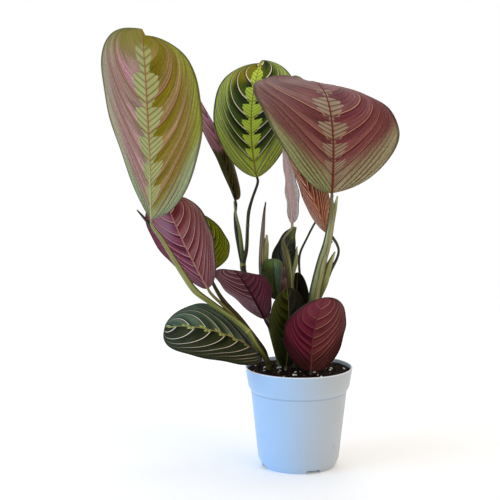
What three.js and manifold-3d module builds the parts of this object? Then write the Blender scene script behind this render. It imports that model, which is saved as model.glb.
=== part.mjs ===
// Prayer plant (maranta) in a white plastic nursery pot.
// Millimetres, +Z up. The origin is the middle of the pot's flat base, and -Y faces the viewer.
// Sixteen leaves stand on four leafy shoots, two single stalks and a young rolled spear, in soil.
import * as THREE from 'three';
import { mergeVertices } from 'three/addons/utils/BufferGeometryUtils.js';
import Module from 'manifold-3d';

const wasm = await Module();
wasm.setup();

// Pot: outline of the outer wall from the base up, as [radius, height].
const potHeight = 84;
const potRimRadius = 45;
const potOutline = [[30.5, 0], [34, 7], [40.2, 64], [42.4, 68], [potRimRadius, potHeight]];
const potWall = 1.3;
const potInside = potOutline.map(([radius, height], i) => [radius - potWall, i === 0 ? potWall : height]);
const potSides = 48;
const drainSlot = { count: 4, width: 12, height: 2.6, depth: 8, inset: 2, firstAngle: -69 };

// Soil: a plug that fills the pot to just below the rim, a little higher in the middle.
const soilEdgeHeight = 81;
const soilMound = 1;
const soilCrumb = 0.7;
const soilSides = 32;
const soilRings = 5;
const soilWallSlack = 0.2;
const stemHole = { depth: 7, overrun: 6, sides: 12 };

// Clearance between pieces that touch.
const gap = 0.3;

// Leaf blades.
const bladeThickness = 0.8;
const bladeEndHalfWidth = 0.9;
const midribRise = 0.7;
const bladeRows = 11;
const bladeColumns = [-1, -0.8, -0.52, -0.2, 0, 0.2, 0.52, 0.8, 1];
const marginWave = 0.9;
const notchAlong = [0.8, 1];
const notchAcross = [0.02, 0.3];

// Stalks.
const stalkEndRadius = 1;
const stalkNeckRadius = 1.15;
const stalkNeckLength = 4;
const stalkFootRise = 0.8;
const leafClearance = gap + 0.05;
const stalkSides = 8;
const stationsPerSpan = 2;

// Each leaf: base and tip of its midrib, bow of the midrib's middle away from the straight line,
// the way its upper side faces, half widths left and right of the midrib, where each half is
// widest and how full it is, how far each half folds up and curls on (degrees), and the twist.
// A notch is how far one half stops short of the tip.
const leaves = {
  leaf_tall_left: {
    base: [-118, -55, 213], tip: [-123, -64, 358.3], bow: [0, 10, 7], face: [0.44, 0.85, 0.28],
    half: [44.6, 50.4], widest: [0.48, 0.64], fullness: [0.92, 1.17],
    fold: [10, 15], curl: [4, 6], twist: 19, notch: [4.8, 0], look: 'leafPaleUnder',
  },
  leaf_back_centre: {
    base: [-35, 40, 240], tip: [-30.5, 60, 340], bow: [-7, -14, 4], face: [-0.35, -0.92, 0.2],
    half: [34.8, 41.8], widest: [0.55, 0.55], fullness: [1.09, 1.29],
    fold: [1, 4], curl: [1, 1], twist: 3, notch: [4, 0], look: 'leafUpper',
  },
  leaf_broad_right: {
    base: [23, -52, 233], tip: [9, 32, 321], bow: [5, -36, 22], face: [-0.16, 0.99, -0.03],
    half: [59.1, 56.8], widest: [0.35, 0.65], fullness: [1.16, 0.86],
    fold: [8, -7], curl: [6.6, 11.3], twist: -14, look: 'leafRedUnder',
  },
  leaf_left_hanging: {
    base: [-75, -28, 154], tip: [-109, -33, 228], bow: [-3, 3, 2], face: [0.32, 0.91, 0.28],
    half: [27, 29], widest: [0.53, 0.56], fullness: [0.92, 0.92],
    fold: [1, 12], curl: [1, 5], twist: 33, look: 'leafRedUnder',
  },
  leaf_left_behind: {
    base: [-74, -14, 166], tip: [-84, -10, 213], bow: [2, 5, -4], face: [-0.27, -0.94, 0.19],
    half: [23, 23], widest: [0.48, 0.46], fullness: [0.91, 0.92],
    fold: [12, 16], curl: [5, 7], twist: -7, look: 'leafUpper',
  },
  leaf_low_left: {
    base: [-32, -5, 96], tip: [-110, -33, 123], bow: [0, -15, 11], face: [0.07, -0.78, 0.62],
    half: [30, 27], widest: [0.54, 0.42], fullness: [0.83, 0.91],
    fold: [11, -8], curl: [4, -5], twist: -8, look: 'leafDarkUpper',
  },
  leaf_centre_small: {
    base: [-29, -10, 126], tip: [-54, -22, 168], bow: [-2, 4, 6], face: [0.53, 0.81, 0.26],
    half: [28, 28], widest: [0.52, 0.61], fullness: [0.94, 0.93],
    fold: [-9, 9], curl: [-5, 3], twist: 21, look: 'leafRedUnder',
  },
  leaf_front_low: {
    base: [9, -20, 84], tip: [19, -37, 148], bow: [-2, 12, 2], face: [-0.31, 0.95, 0.1],
    half: [27, 28], widest: [0.48, 0.5], fullness: [0.91, 0.93],
    fold: [-1, -4], curl: [-1, -3], twist: -1, look: 'leafRedUnder',
  },
  leaf_soil_dark: {
    base: [-11, -6, 85], tip: [-11, -23, 154], bow: [2, 2, 4], face: [0.05, -0.97, 0.23],
    half: [21, 15], widest: [0.57, 0.53], fullness: [0.97, 0.94],
    fold: [30, 12], curl: [14, 5], twist: -8, look: 'leafDarkUpper',
  },
  leaf_centre_dark: {
    base: [-12, 16, 153], tip: [-2, 17, 199], bow: [-3, 7, 2], face: [-0.53, -0.75, 0.39],
    half: [15, 15], widest: [0.42, 0.44], fullness: [1.3, 1.2],
    fold: [-7, 12], curl: [-5, 5], twist: -22, look: 'leafDarkUpper',
  },
  leaf_pale_narrow: {
    base: [-6, 5, 204], tip: [-13.5, 16, 266], bow: [2, -1, -3], face: [0.75, 0.61, 0.25],
    half: [12, 12], widest: [0.5, 0.5], fullness: [0.92, 0.92],
    fold: [-4, 16], curl: [-3, 7], twist: -12, look: 'leafPaleUnder',
  },
  leaf_red_folded: {
    base: [21, -26, 199], tip: [-10, -26, 260], bow: [2, -7, 1], face: [0.1, 0.96, 0.26],
    half: [19, 20], widest: [0.53, 0.51], fullness: [0.93, 0.92],
    fold: [42, 46], curl: [23, 24], twist: -15, look: 'leafRedUnder',
  },
  leaf_rolled_back: {
    base: [-54, 62, 219], tip: [-85, 80, 306], bow: [3, -7, 2], face: [0.2, -0.97, 0.13],
    half: [16, 14], widest: [0.52, 0.47], fullness: [0.6, 0.62],
    fold: [47, 76], curl: [4, 18], twist: -48, look: 'leafDarkUpper',
  },
  leaf_behind_right: {
    base: [28, 30, 228], tip: [7, 72, 323], bow: [-4, -11, 15], face: [0.19, -0.98, 0.09],
    half: [24, 26], widest: [0.53, 0.55], fullness: [0.89, 0.89],
    fold: [13, 11], curl: [6, 4], twist: 9, look: 'leafUpper',
  },
  leaf_young_green: {
    base: [-18, -9, 142], tip: [-22, -10, 176], bow: [-1, 1, 2], face: [0, 1, 0.1],
    half: [11, 11], widest: [0.52, 0.51], fullness: [0.9, 0.9],
    fold: [15, 13], curl: [6, 5], twist: -2, look: 'leafUpper',
  },
  leaf_centre_low: {
    base: [-1, 9.5, 94], tip: [-1, 9, 162], bow: [-1, 1, -2], face: [0, -0.98, 0.2],
    half: [13, 13], widest: [0.47, 0.47], fullness: [0.92, 0.92],
    fold: [17, 16], curl: [8, 7], twist: 1, look: 'leafDarkUpper',
  },
};

// Each shoot stands in its own hole in the soil (foot, footRadius). Its stalks run through the
// points [x, y, z, radius]; one with a leaf ends just short of that leaf's base, and a pointed
// leaf sheath simply tapers off.
const shoots = {
  shoot_left: {
    foot: [-25, -4], footRadius: 2.6,
    stalks: [
      { leaf: 'leaf_tall_left', points: [
        [-26, -5, 88, 2.4], [-31, -13, 98, 2.4], [-37, -19, 108, 2.4], [-43, -25, 119, 2.7],
        [-53, -26, 128, 2.3], [-64, -27, 136, 2.2], [-75, -28, 144, 2.3], [-85, -30, 152, 2.6],
        [-94, -36, 166, 2.3], [-103, -42, 182, 2], [-111, -48, 197, 1.8]] },
      { leaf: 'leaf_left_hanging', points: [
        [-43, -25, 119, 1.6], [-53, -26, 130, 1.4], [-63, -26, 140, 1.3]] },
      { leaf: 'leaf_left_behind', points: [
        [-26, -5, 88, 1.8], [-29, -12, 99, 1.9], [-35, -18, 109, 1.9], [-42, -21, 119, 1.8],
        [-50, -21, 129, 1.9], [-58, -20, 137, 2.1], [-66, -18, 147, 1.7]] },
      { leaf: 'leaf_low_left', points: [[-26, -5, 87, 1.5]] },
      { points: [
        [-107, -45, 191, 1], [-117, -51, 205, 1.5], [-124, -54, 214, 1.1], [-129, -56, 220, 0.5]] },
    ],
  },
  shoot_back: {
    foot: [-14, 18], footRadius: 2.4,
    stalks: [
      { leaf: 'leaf_back_centre', points: [
        [-15, 17, 92, 2.4], [-22, 16, 112, 2.3], [-31, 17, 129, 2.2], [-39, 20, 145, 2.3],
        [-47, 24, 164, 2.5], [-44, 28, 179, 1.6], [-43, 33, 200, 1.4], [-42, 36, 211, 1.5],
        [-39, 38, 222, 1.2]] },
      { leaf: 'leaf_rolled_back', points: [
        [-47, 24, 164, 1.7], [-50, 32, 178, 1.6], [-53, 43, 194, 1.5], [-54, 53, 207, 1.3]] },
      { points: [
        [-46, 24, 164, 1.9], [-48, 31, 178, 2], [-50, 40, 193, 1.7], [-53, 48, 206, 1.2],
        [-55, 55, 218, 0.5]] },
    ],
  },
  shoot_centre: {
    foot: [-2, 4], footRadius: 2.8,
    stalks: [
      { leaf: 'leaf_pale_narrow', points: [
        [-3, 3, 97, 2.6], [-5, 2, 127, 3.1], [-7.3, 1, 148, 3.2], [-8.8, 0, 165, 3.7],
        [-11.2, 0, 180, 3.1], [-13.2, 1.4, 187, 2.2], [-12.8, 2, 191.5, 1.1],
        [-9, 3.4, 196.5, 1]] },
      { leaf: 'leaf_centre_dark', points: [[-2, 4, 86, 1.8], [-4, 14, 97, 1.6], [-9, 17, 124, 1.4]] },
      { leaf: 'leaf_centre_low', points: [[-2, 4, 84, 1.7]] },
      { leaf: 'leaf_young_green', points: [[-3, 3, 97, 1.6], [-9, -3, 119, 1.4]] },
      { leaf: 'leaf_centre_small', points: [[-2, 4, 86, 1.7], [-9, 3, 95, 1.6], [-19, 0, 109, 1.5]] },
      { leaf: 'leaf_behind_right', points: [
        [-2, 4, 86, 1.8], [2, 16, 98, 1.5], [4, 20, 124, 1.3], [2, 20, 150, 1.1],
        [1, 20, 175, 1], [7, 22, 189, 0.9], [15, 24, 204, 0.9]] },
      { points: [[-7, 1, 148, 2.2], [-6, 0, 161, 2.2], [-3, 0, 172, 1.9], [-2, 0, 185, 0.5]] },
    ],
  },
  shoot_right: {
    foot: [8, 3], footRadius: 3.1,
    stalks: [
      { leaf: 'leaf_broad_right', points: [
        [8, 0, 102, 3.4], [10, -6, 128, 4.2], [12, -11, 146, 4.6], [15, -17, 163, 4.4],
        [18, -23, 178, 3.9], [21, -30, 191, 3.4], [23, -35, 204, 3], [24, -40, 216, 2.6]] },
      { leaf: 'leaf_red_folded', points: [[24, -30, 192, 1.5]] },
      { points: [
        [9, 1, 102, 2.4], [14, -7, 141, 2.6], [20, -12, 154, 1.9], [25, -16, 167, 1.4],
        [30, -19, 178, 1.1], [31, -21, 184, 1], [29, -25, 190, 1.1], [25, -31, 196, 1.3]] },
      { points: [[15, -8, 144, 3.4], [20, -13, 157, 3.4], [23.5, -17, 171, 2.8], [28, -20, 183, 0.6]] },
      { points: [[24, -36, 209, 2.6], [26, -40, 219, 1.9], [28, -44, 230, 0.6]] },
    ],
  },
  spear: {
    foot: [-16, 8], footRadius: 1.9,
    stalks: [
      { points: [
        [-20, 6, 101, 2.2], [-27, 1, 131, 2.6], [-30, -1, 153, 2.7], [-31, -2, 170, 2.8],
        [-31, -1, 186, 2.2], [-30, 0, 203, 1.6], [-29, 0, 215, 1], [-28, 0, 222, 0.5]] },
      { points: [[-30, -1, 153, 2.6], [-28.6, -2, 172, 2.9], [-27.6, -2, 187, 2.3], [-27, -2, 195, 0.6]] },
    ],
  },
  stalk_front: { foot: [9, -21.5], footRadius: 1.5, stalks: [{ leaf: 'leaf_front_low', points: [] }] },
  stalk_dark: { foot: [-11, -5], footRadius: 1.6, stalks: [{ leaf: 'leaf_soil_dark', points: [] }] },
};

const looks = {
  pot: { color: 0xdfe6f2, roughness: 0.42 },
  soil: { color: 0x241c19, roughness: 0.95 },
  stem: { color: 0x8a9550, roughness: 0.5 },
  spear: { color: 0x9c8f7c, roughness: 0.5 },
  leafUpper: { color: 0x4f7a2c, roughness: 0.42 },
  leafDarkUpper: { color: 0x2c3d22, roughness: 0.42 },
  leafRedUnder: { color: 0x74343f, roughness: 0.5 },
  leafPaleUnder: { color: 0x8c8a48, roughness: 0.5 },
};

function material(name) {
  return new THREE.MeshStandardMaterial({ ...looks[name], metalness: 0, flatShading: true });
}

function vector(list) {
  return new THREE.Vector3(list[0], list[1], list[2]);
}

// A small seeded generator, so that every build is the same.
function randomFrom(seed) {
  let state = seed;
  return () => {
    state = (state * 1664525 + 1013904223) % 4294967296;
    return state / 4294967296;
  };
}

function toSolid(geometry) {
  const bare = geometry.clone();
  bare.deleteAttribute('normal');
  bare.deleteAttribute('uv');
  const merged = mergeVertices(bare, 1e-4);
  return new wasm.Manifold(new wasm.Mesh({
    numProp: 3,
    vertProperties: new Float32Array(merged.attributes.position.array),
    triVerts: new Uint32Array(merged.index.array),
  }));
}

function fromSolid(solid) {
  const mesh = solid.getMesh();
  const geometry = new THREE.BufferGeometry();
  geometry.setAttribute('position', new THREE.BufferAttribute(new Float32Array(mesh.vertProperties), 3));
  geometry.setIndex(new THREE.BufferAttribute(new Uint32Array(mesh.triVerts), 1));
  return geometry;
}

// A closed skin through rows of points: every row has the same count, the rows are rings when
// closed is true, and both ends are capped by a fan from the row's own middle.
function loftRings(rings) {
  const positions = [];
  const index = [];
  const sides = rings[0].length;
  rings.forEach((ring) => ring.forEach((point) => positions.push(point.x, point.y, point.z)));
  for (let i = 0; i < rings.length - 1; i += 1) {
    for (let j = 0; j < sides; j += 1) {
      const a = i * sides + j;
      const b = i * sides + (j + 1) % sides;
      index.push(a, b, b + sides, a, b + sides, a + sides);
    }
  }
  [0, rings.length - 1].forEach((end) => {
    const middle = new THREE.Vector3();
    rings[end].forEach((point) => middle.add(point));
    middle.divideScalar(sides);
    const hub = positions.length / 3;
    positions.push(middle.x, middle.y, middle.z);
    for (let j = 0; j < sides; j += 1) {
      const a = end * sides + j;
      const b = end * sides + (j + 1) % sides;
      if (end === 0) index.push(hub, b, a);
      else index.push(hub, a, b);
    }
  });
  const geometry = new THREE.BufferGeometry();
  geometry.setAttribute('position', new THREE.Float32BufferAttribute(positions, 3));
  geometry.setIndex(index);
  return geometry;
}

// A round stalk that tapers along a smooth curve through points [x, y, z, radius].
function taperedTube(points) {
  const curve = new THREE.CatmullRomCurve3(points.map(vector), false, 'centripetal');
  const spans = points.length - 1;
  const stations = spans * stationsPerSpan;
  const frames = curve.computeFrenetFrames(stations, false);
  const rings = [];
  for (let i = 0; i <= stations; i += 1) {
    const along = i / stations;
    const span = Math.min(Math.floor(along * spans), spans - 1);
    const part = along * spans - span;
    const radius = points[span][3] * (1 - part) + points[span + 1][3] * part;
    const centre = curve.getPoint(along);
    const tangent = curve.getTangent(along);
    const across = frames.normals[i].clone();
    across.addScaledVector(tangent, -across.dot(tangent)).normalize();
    const up = new THREE.Vector3().crossVectors(tangent, across);
    const ring = [];
    for (let j = 0; j < stalkSides; j += 1) {
      const angle = (j / stalkSides) * 2 * Math.PI;
      ring.push(centre.clone()
        .addScaledVector(across, radius * Math.cos(angle))
        .addScaledVector(up, radius * Math.sin(angle)));
    }
    rings.push(ring);
  }
  return loftRings(rings);
}

// Half width of a blade at t along its midrib, as a share of its widest half width.
function halfShape(t, widest, fullness) {
  if (t <= 0 || t >= 1) return 0;
  return ((t / widest) ** widest * ((1 - t) / (1 - widest)) ** (1 - widest)) ** fullness;
}

function midribAt(leaf, t) {
  const base = vector(leaf.base);
  const tip = vector(leaf.tip);
  const control = base.clone().add(tip).multiplyScalar(0.5).addScaledVector(vector(leaf.bow), 2);
  const curve = new THREE.QuadraticBezierCurve3(base, control, tip);
  return { point: curve.getPoint(t), tangent: curve.getTangent(t) };
}

function stepBetween(value, [low, high]) {
  return THREE.MathUtils.smoothstep(value, low, high);
}

// Point and upward normal of a blade at t along the midrib and u across it, from -1 to 1.
function bladeAt(leaf, t, u) {
  const { point, tangent } = midribAt(leaf, t);
  const face = vector(leaf.face);
  const flatUp = face.addScaledVector(tangent, -face.dot(tangent)).normalize();
  const flatSide = new THREE.Vector3().crossVectors(tangent, flatUp);
  const turn = THREE.MathUtils.degToRad(leaf.twist) * (t - 0.5);
  const up = flatUp.clone().multiplyScalar(Math.cos(turn)).addScaledVector(flatSide, Math.sin(turn));
  const side = flatSide.clone().multiplyScalar(Math.cos(turn)).addScaledVector(flatUp, -Math.sin(turn));
  const which = u < 0 ? 0 : 1;
  const sign = u < 0 ? -1 : 1;
  const across = Math.abs(u);
  const shape = halfShape(t, leaf.widest[which], leaf.fullness[which]);
  const width = Math.max(leaf.half[which] * shape, bladeEndHalfWidth);
  const fold = THREE.MathUtils.degToRad(leaf.fold[which]);
  const curl = THREE.MathUtils.degToRad(leaf.curl[which]);
  const bend = fold + curl * across;
  const outward = (width / curl) * (Math.sin(bend) - Math.sin(fold));
  const swing = Math.sin(2 * Math.PI * (3 * t + 0.3 * which)) * Math.sin(Math.PI * t);
  const wave = marginWave * across ** 2 * swing;
  const upward = (width / curl) * (Math.cos(fold) - Math.cos(bend)) + wave;
  const notch = leaf.notch ? leaf.notch[which] : 0;
  const back = notch * stepBetween(t, notchAlong) * stepBetween(across, notchAcross);
  const surface = point.addScaledVector(side, sign * outward).addScaledVector(up, upward);
  surface.addScaledVector(tangent, -back);
  const tilt = across === 0 ? (fold - THREE.MathUtils.degToRad(leaf.fold[0])) / 2 : bend;
  const normal = up.clone().multiplyScalar(Math.cos(tilt)).addScaledVector(side, -sign * Math.sin(tilt));
  return { surface, normal };
}

// A blade as one closed solid: both faces on the same grid, split alike, with a wall round them
// and a low ridge under the midrib.
function bladeGeometry(leaf) {
  const rings = [];
  for (let i = 0; i <= bladeRows; i += 1) {
    const t = (1 - Math.cos((Math.PI * i) / bladeRows)) / 2;
    const row = bladeColumns.map((u) => bladeAt(leaf, t, u));
    const upper = row.map(({ surface, normal }) => (
      surface.clone().addScaledVector(normal, bladeThickness / 2)));
    const lower = row.map(({ surface, normal }, j) => {
      const ridge = bladeColumns[j] === 0 ? midribRise * (1 - t) : 0;
      return surface.clone().addScaledVector(normal, -bladeThickness / 2 - ridge);
    });
    rings.push({ upper, lower });
  }
  const columns = bladeColumns.length;
  const positions = [];
  rings.forEach(({ upper, lower }) => {
    [...upper, ...lower].forEach((point) => positions.push(point.x, point.y, point.z));
  });
  const top = (i, j) => i * 2 * columns + j;
  const under = (i, j) => top(i, j) + columns;
  const index = [];
  const quad = (a, b, c, d) => index.push(a, b, c, a, c, d);
  for (let i = 0; i < bladeRows; i += 1) {
    for (let j = 0; j < columns - 1; j += 1) {
      quad(top(i, j), top(i, j + 1), top(i + 1, j + 1), top(i + 1, j));
      index.push(under(i, j), under(i + 1, j + 1), under(i, j + 1));
      index.push(under(i, j), under(i + 1, j), under(i + 1, j + 1));
    }
    quad(top(i, 0), top(i + 1, 0), under(i + 1, 0), under(i, 0));
    const last = columns - 1;
    quad(top(i, last), under(i, last), under(i + 1, last), top(i + 1, last));
  }
  for (let j = 0; j < columns - 1; j += 1) {
    quad(top(0, j), under(0, j), under(0, j + 1), top(0, j + 1));
    quad(top(bladeRows, j), top(bladeRows, j + 1), under(bladeRows, j + 1), under(bladeRows, j));
  }
  const geometry = new THREE.BufferGeometry();
  geometry.setAttribute('position', new THREE.Float32BufferAttribute(positions, 3));
  geometry.setIndex(index);
  return geometry;
}

function soilHeight(x, y, reach) {
  const share = Math.min(Math.hypot(x, y) / reach, 1);
  return soilEdgeHeight + soilMound * (1 - share ** 2);
}

// All stalks of one shoot joined in one solid, with a plain upright foot in the soil.
function shootGeometry(shoot) {
  const [x, y] = shoot.foot;
  const ground = soilHeight(x, y, potRimRadius);
  const footBottom = ground - stemHole.depth + gap;
  const foot = [[x, y, footBottom, shoot.footRadius], [x, y, ground + stalkFootRise, shoot.footRadius]];
  const solids = shoot.stalks.map((stalk, i) => {
    const points = i === 0 ? [...foot, ...stalk.points] : [...stalk.points];
    if (stalk.leaf) {
      const { point, tangent } = midribAt(leaves[stalk.leaf], 0);
      const neck = point.clone().addScaledVector(tangent, -stalkNeckLength);
      const end = point.clone().addScaledVector(tangent, -leafClearance);
      if (shoot.stalks.length > 1) points.push([neck.x, neck.y, neck.z, stalkNeckRadius]);
      points.push([end.x, end.y, end.z, stalkEndRadius]);
    }
    return toSolid(taperedTube(points));
  });
  return fromSolid(solids.reduce((whole, solid) => whole.add(solid)));
}

function potGeometry() {
  const outer = potOutline.map(([radius, height]) => new THREE.Vector2(radius, height));
  const inner = potInside.map(([radius, height]) => new THREE.Vector2(radius, height)).reverse();
  const profile = [new THREE.Vector2(0, 0), ...outer, ...inner, new THREE.Vector2(0, potWall)];
  const shell = new THREE.LatheGeometry(profile, potSides).rotateX(Math.PI / 2);
  let solid = toSolid(shell);
  for (let i = 0; i < drainSlot.count; i += 1) {
    const angle = THREE.MathUtils.degToRad(drainSlot.firstAngle + (360 / drainSlot.count) * i);
    const cutter = new THREE.BoxGeometry(drainSlot.depth, drainSlot.width, drainSlot.height * 2);
    cutter.translate(potOutline[0][0] + drainSlot.depth / 2 - drainSlot.inset, 0, 0);
    cutter.rotateZ(angle);
    solid = solid.subtract(toSolid(cutter));
  }
  return fromSolid(solid);
}

// Inner radius of the pot at a height.
function potInnerRadius(height) {
  const upper = Math.max(potInside.findIndex((point) => point[1] >= height), 1);
  const [r0, z0] = potInside[upper - 1];
  const [r1, z1] = potInside[upper];
  return r0 + ((r1 - r0) * (height - z0)) / (z1 - z0);
}

function soilGeometry() {
  const random = randomFrom(7);
  const floor = potWall + gap;
  const wallHeights = [floor, ...potOutline.slice(1, -1).map((point) => point[1])];
  const wallReach = potInnerRadius(soilEdgeHeight) - gap;
  const wallSlack = gap + soilWallSlack;
  const rings = wallHeights.map((height) => ({ radius: potInnerRadius(height) - wallSlack, height }));
  for (let i = 0; i < soilRings; i += 1) {
    const radius = wallReach * (1 - i / soilRings);
    rings.push({ radius, height: soilHeight(radius, 0, potRimRadius), crumb: i > 0 });
  }
  const skin = rings.map(({ radius, height, crumb }) => {
    const ring = [];
    for (let j = 0; j < soilSides; j += 1) {
      const angle = (j / soilSides) * 2 * Math.PI;
      const lift = crumb ? (random() - 0.5) * 2 * soilCrumb : 0;
      ring.push(new THREE.Vector3(radius * Math.cos(angle), radius * Math.sin(angle), height + lift));
    }
    return ring;
  });
  let solid = toSolid(loftRings(skin));
  Object.values(shoots).forEach(({ foot, footRadius }) => {
    const [x, y] = foot;
    const ground = soilHeight(x, y, potRimRadius);
    const radius = footRadius + gap;
    const length = stemHole.depth + stemHole.overrun;
    const hole = new THREE.CylinderGeometry(radius, radius, length, stemHole.sides);
    hole.rotateX(Math.PI / 2);
    hole.translate(x, y, ground - stemHole.depth + length / 2);
    solid = solid.subtract(toSolid(hole));
  });
  return fromSolid(solid);
}

const plant = new THREE.Group();

function addPiece(name, geometry, look) {
  const mesh = new THREE.Mesh(geometry, material(look));
  mesh.name = name;
  plant.add(mesh);
}

addPiece('pot', potGeometry(), 'pot');
addPiece('soil', soilGeometry(), 'soil');
Object.entries(shoots).forEach(([name, shoot]) => {
  addPiece(name, shootGeometry(shoot), name === 'spear' ? 'spear' : 'stem');
});
Object.entries(leaves).forEach(([name, leaf]) => {
  addPiece(name, bladeGeometry(leaf), leaf.look);
});

export default plant;
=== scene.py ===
import math
import random

import bpy
from mathutils import Matrix, Vector, noise


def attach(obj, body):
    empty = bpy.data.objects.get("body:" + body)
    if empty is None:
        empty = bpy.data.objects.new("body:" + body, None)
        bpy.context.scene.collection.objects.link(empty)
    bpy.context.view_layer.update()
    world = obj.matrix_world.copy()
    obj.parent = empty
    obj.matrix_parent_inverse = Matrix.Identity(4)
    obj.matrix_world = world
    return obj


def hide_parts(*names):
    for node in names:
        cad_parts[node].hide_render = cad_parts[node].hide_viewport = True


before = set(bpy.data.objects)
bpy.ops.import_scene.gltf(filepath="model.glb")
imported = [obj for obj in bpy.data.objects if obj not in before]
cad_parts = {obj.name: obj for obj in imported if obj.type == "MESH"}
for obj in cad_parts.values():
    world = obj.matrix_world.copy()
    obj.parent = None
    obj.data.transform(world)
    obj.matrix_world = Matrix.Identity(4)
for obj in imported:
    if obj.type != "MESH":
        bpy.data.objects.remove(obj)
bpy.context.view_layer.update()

# A prayer plant in a white nursery pot. Sizes in the dictionaries are millimetres,
# colours are screen colours from 0 to 255, angles are degrees.
mm = 0.001
fullTurn = 2 * math.pi


# takes the usual curve of screen colours off again
def screenColour(red, green, blue):
    linear = []
    for channel in (red, green, blue):
        share = channel / 255
        linear.append(share / 12.92 if share <= 0.04045 else ((share + 0.055) / 1.055) ** 2.4)
    return (*linear, 1.0)


def deselectAll():
    if bpy.context.object and bpy.context.object.mode != "OBJECT":
        bpy.ops.object.mode_set(mode="OBJECT")
    bpy.ops.object.select_all(action="DESELECT")


def selectOnly(piece, others=()):
    deselectAll()
    for other in (piece, *others):
        other.select_set(True)
    bpy.context.view_layer.objects.active = piece


def applyModifiers(piece):
    selectOnly(piece)
    for modifier in list(piece.modifiers):
        bpy.ops.object.modifier_apply(modifier=modifier.name)


def joinInto(piece, others):
    if others:
        selectOnly(piece, others)
        bpy.ops.object.join()
    return piece


def startEdit(kind, action="SELECT"):
    bpy.ops.object.mode_set(mode="EDIT")
    bpy.ops.mesh.select_mode(type=kind)
    bpy.ops.mesh.select_all(action=action)


def endEdit():
    bpy.ops.mesh.select_all(action="SELECT")
    bpy.ops.mesh.normals_make_consistent(inside=False)
    bpy.ops.object.mode_set(mode="OBJECT")


def smoothBelow(piece, degrees):
    selectOnly(piece)
    bpy.ops.object.shade_smooth_by_angle(angle=math.radians(degrees))


def placeInFrame(piece, body, slotName, *nodes):
    selectOnly(piece)
    bpy.ops.object.transform_apply(location=True, rotation=True, scale=True)
    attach(piece, body)
    if nodes:
        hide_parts(*nodes)


# an output socket of a node, which takes part in sums like a number
class Wire:
    def __init__(self, tree, socket):
        self.tree = tree
        self.socket = socket

    def __add__(self, other):
        return sums("ADD", self, other)

    def __sub__(self, other):
        return sums("SUBTRACT", self, other)

    def __rsub__(self, other):
        return sums("SUBTRACT", other, self)

    def __mul__(self, other):
        return sums("MULTIPLY", self, other)

    def __truediv__(self, other):
        return sums("DIVIDE", self, other)

    def __rtruediv__(self, other):
        return sums("DIVIDE", other, self)

    def __pow__(self, power):
        return sums("POWER", self, power)

    def __abs__(self):
        return sums("ABSOLUTE", self)


def plug(value, socket):
    if isinstance(value, Wire):
        value.tree.links.new(value.socket, socket)
    else:
        socket.default_value = value


def source(tree, kind, output=0, **settings):
    node = tree.nodes.new("ShaderNode" + kind)
    for name, setting in settings.items():
        setattr(node, name, setting)
    return Wire(tree, node.outputs[output])


def wired(kind, values, sockets=None, output=0, **settings):
    tree = next(value.tree for value in values if isinstance(value, Wire))
    result = source(tree, kind, output, **settings)
    for value, socket in zip(values, sockets or range(len(values))):
        plug(value, result.socket.node.inputs[socket])
    return result


def sums(operation, *values, clamp=False):
    return wired("Math", values, operation=operation, use_clamp=clamp)


def above(value, limit):
    return sums("GREATER_THAN", value, limit)


def ramp(value, low, high, toLow=0.0, toHigh=1.0):
    return wired("MapRange", (value, low, high, toLow, toHigh), interpolation_type="SMOOTHSTEP")


def blend(share, first, second, mode="MIX"):
    return wired("Mix", (share, first, second), (0, 6, 7), 2, data_type="RGBA", blend_type=mode)


def grain(where, scale, detail=2.0, roughness=0.5):
    values = (where, scale, detail, roughness)
    return wired("TexNoise", values, ("Vector", "Scale", "Detail", "Roughness"), "Fac")


def vectorOf(x, y, z):
    return wired("CombineXYZ", (x, y, z))


def parts(vector):
    split = wired("SeparateXYZ", (vector,))
    return [Wire(vector.tree, output) for output in split.socket.node.outputs]


def shaded(colour, amount):
    return blend(1.0, colour, vectorOf(amount, amount, amount), "MULTIPLY")


# a group takes colours and other values, and gives a colour and a height
def newGroup(name, colours, others):
    group = bpy.data.node_groups.new(name, "ShaderNodeTree")
    sockets = group.interface
    for title in colours:
        sockets.new_socket(title, in_out="INPUT", socket_type="NodeSocketColor")
    for title, value in others.items():
        kind = "NodeSocketFloat" if isinstance(value, float) else "NodeSocketVector"
        sockets.new_socket(title, in_out="INPUT", socket_type=kind).default_value = value
    sockets.new_socket("Colour", in_out="OUTPUT", socket_type="NodeSocketColor")
    sockets.new_socket("Height", in_out="OUTPUT", socket_type="NodeSocketFloat")
    entry = group.nodes.new("NodeGroupInput")
    leave = group.nodes.new("NodeGroupOutput")
    given = {socket.name: Wire(group, socket) for socket in entry.outputs}
    return group, given, leave.inputs


def newMaterial(name, roughness, specular):
    material = bpy.data.materials.new(name)
    material.use_nodes = True
    tree = material.node_tree
    shader = tree.nodes["Principled BSDF"]
    shader.inputs["Roughness"].default_value = roughness
    shader.inputs["Specular IOR Level"].default_value = specular
    return material, source(tree, "TexCoord", "Object"), shader.inputs


# a material whose colour and height come from a group that reads both maps of the piece
def patternMaterial(name, pattern, roughness, specular):
    material, where, shader = newMaterial(name, roughness, specular)
    node = where.tree.nodes.new("ShaderNodeGroup")
    node.node_tree = pattern
    for title, mapName in (("Place", "pieceMap"), ("Size", "sizeMap")):
        plug(source(where.tree, "UVMap", uv_map=mapName), node.inputs[title])
    plug(Wire(where.tree, node.outputs["Colour"]), shader["Base Color"])
    return material, shader, node.inputs, Wire(where.tree, node.outputs["Height"])


def relief(shader, height, depth):
    bump = wired("Bump", (1.0, height, depth * mm), ("Strength", "Height", "Distance"))
    plug(bump, shader["Normal"])


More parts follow.
